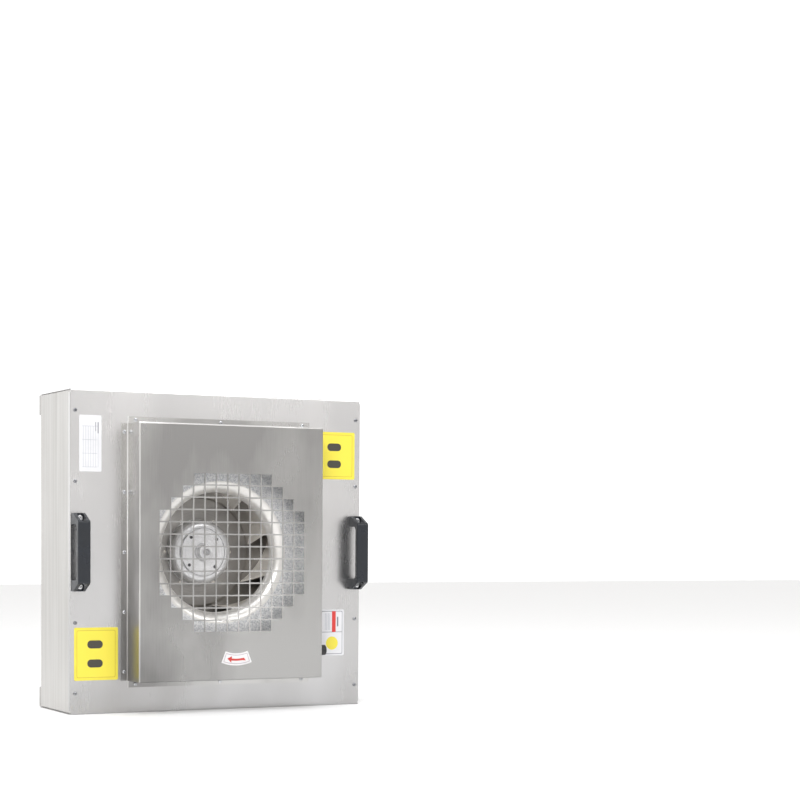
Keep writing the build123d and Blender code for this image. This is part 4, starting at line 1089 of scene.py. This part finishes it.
# %% Rating plate
WHITE, RULE, PALE = (0.68, 0.68, 0.70), (0.16, 0.17, 0.20), (0.34, 0.36, 0.40)
left, right, bottom, top = -270.0, -228.7, 142.5, 242.0
rules = []
for step in range(7):
    rules.append((PALE, left + 7.5 + step * 4.6, (bottom + top) / 2 - 6, 0.28, 36, 0.2))
for step in range(4):
    rules.append((PALE, left + 19.5, bottom + 8 + step * 24, 14, 0.28, 0.2))
rules.append((RULE, left + 35.0, top - 22, 0.9, 10, 0.3))
rules.append((RULE, left + 30.5, top - 20, 0.6, 8, 0.3))
plate = film("rating_plate", rounded(left, right, bottom, top, 2), 0.05)
apply_film(plate, print_shapes("rating_plate_print", WHITE, rules))

# %% Colour plate
left, right, bottom, top = 204.5, 255.0, -193.8, -107.0
across, up = (left + right) / 2, (bottom + top) / 2
RED, SUN = (0.62, 0.03, 0.025), (0.76, 0.65, 0.05)
fields = [(RULE, across, up, 22.0, 40.5, 2.5), (WHITE, across, up, 21.0, 39.5, 2),
          (RULE, across, up + 1, 21.0, 0.5, 0.1), (RED, across + 4.0, up + 20.5, 4.0, 19.5, 0.3),
          (SUN, across, up - 20, 12.5, 12.5, 12.5)]
for step in range(4):
    fields.append((PALE, across - 4.5 - step * 3.2, up + 20.5, 0.5, 16, 0.2))
fields.append((RULE, across + 12.0, up + 20.5, 1.4, 9, 0.3))
plate = film("colour_plate", rounded(left, right, bottom, top, 2), 0.05)
apply_film(plate, print_shapes("colour_plate_print", WHITE, fields))


# %% [markdown]
# ## The arrow on the guard
# A small curved sticker on the guard shows which way the fan turns, with a bent arrow
# inside a fine outline. The shape group knows only upright rectangles, so this one is cut
# from film instead: white under a thin outline and a red arrow, all set out on arcs round
# one centre.

# %% Arcs and sectors
def arc_points(centre, radius, start, end, steps):
    """Points along an arc, angles in degrees."""
    return [(centre[0] + radius * cos(radians(start + (end - start) * k / steps)),
             centre[1] + radius * sin(radians(start + (end - start) * k / steps)))
            for k in range(steps + 1)]


def sector(centre, inner, outer, half_angle, steps=12):
    """Outline of a bent field that hangs below a centre, anticlockwise seen from the front."""
    return (arc_points(centre, outer, 270 - half_angle, 270 + half_angle, steps)
            + arc_points(centre, inner, 270 + half_angle, 270 - half_angle, steps))


print("bent fields can be outlined")

# %% Arrow sticker
cover_proud = (face_y - cover_y) / MM
arc_centre = (7.5, -122.0)
sticker = film("arrow_sticker", sector(arc_centre, 59.5, 81.5, 21.5), cover_proud + 0.03, 0.08)
sticker_white = moulded("sticker_white", (0.72, 0.71, 0.715), (0.67, 0.66, 0.665), 0.45, 900, 0.00002)
apply_film(sticker, sticker_white)
rim, inside = sector(arc_centre, 62.3, 78.7, 19.2), sector(arc_centre, 63.2, 77.8, 18.5)
outline = rim + [(rim[0][0], rim[0][1] + 0.05)] + [(inside[0][0], inside[0][1] + 0.05)] + inside[::-1]
line_print = moulded("line_print", (0.36, 0.28, 0.34), (0.30, 0.23, 0.28), 0.4, 900, 0.00002)
apply_film(film("arrow_outline", outline, cover_proud + 0.12, 0.05), line_print)

# %% Turn arrow
arrow = arc_points(arc_centre, 69.2, 262, 282, 8)
arrow += [(arc_centre[0] + 75 * cos(radians(284)), arc_centre[1] + 75 * sin(radians(284)))]
arrow += arc_points(arc_centre, 73.0, 279, 262, 8)
arrow += [(arc_centre[0] + radius * cos(radians(angle)), arc_centre[1] + radius * sin(radians(angle)))
          for radius, angle in ((77.0, 262), (71.0, 255), (65.0, 262))]
red_film = moulded("red_film", (0.56, 0.045, 0.035), (0.44, 0.03, 0.025), 0.4, 900, 0.00002)
apply_film(film("turn_arrow", arrow[::-1], cover_proud + 0.12, 0.05), red_film)


# %% [markdown]
# ## The floor's finish
# The floor is pale, matt and even. A single flat colour would do, but with a breath of
# variation the shadow's edge looks like a surface rather than a stain.

# %% Floor finish
pale = moulded("pale_floor", (0.96, 0.96, 0.96), (0.95, 0.95, 0.95), 0.7, 20, 0.0001)
floor.data.materials.append(pale)
print("floor dressed")
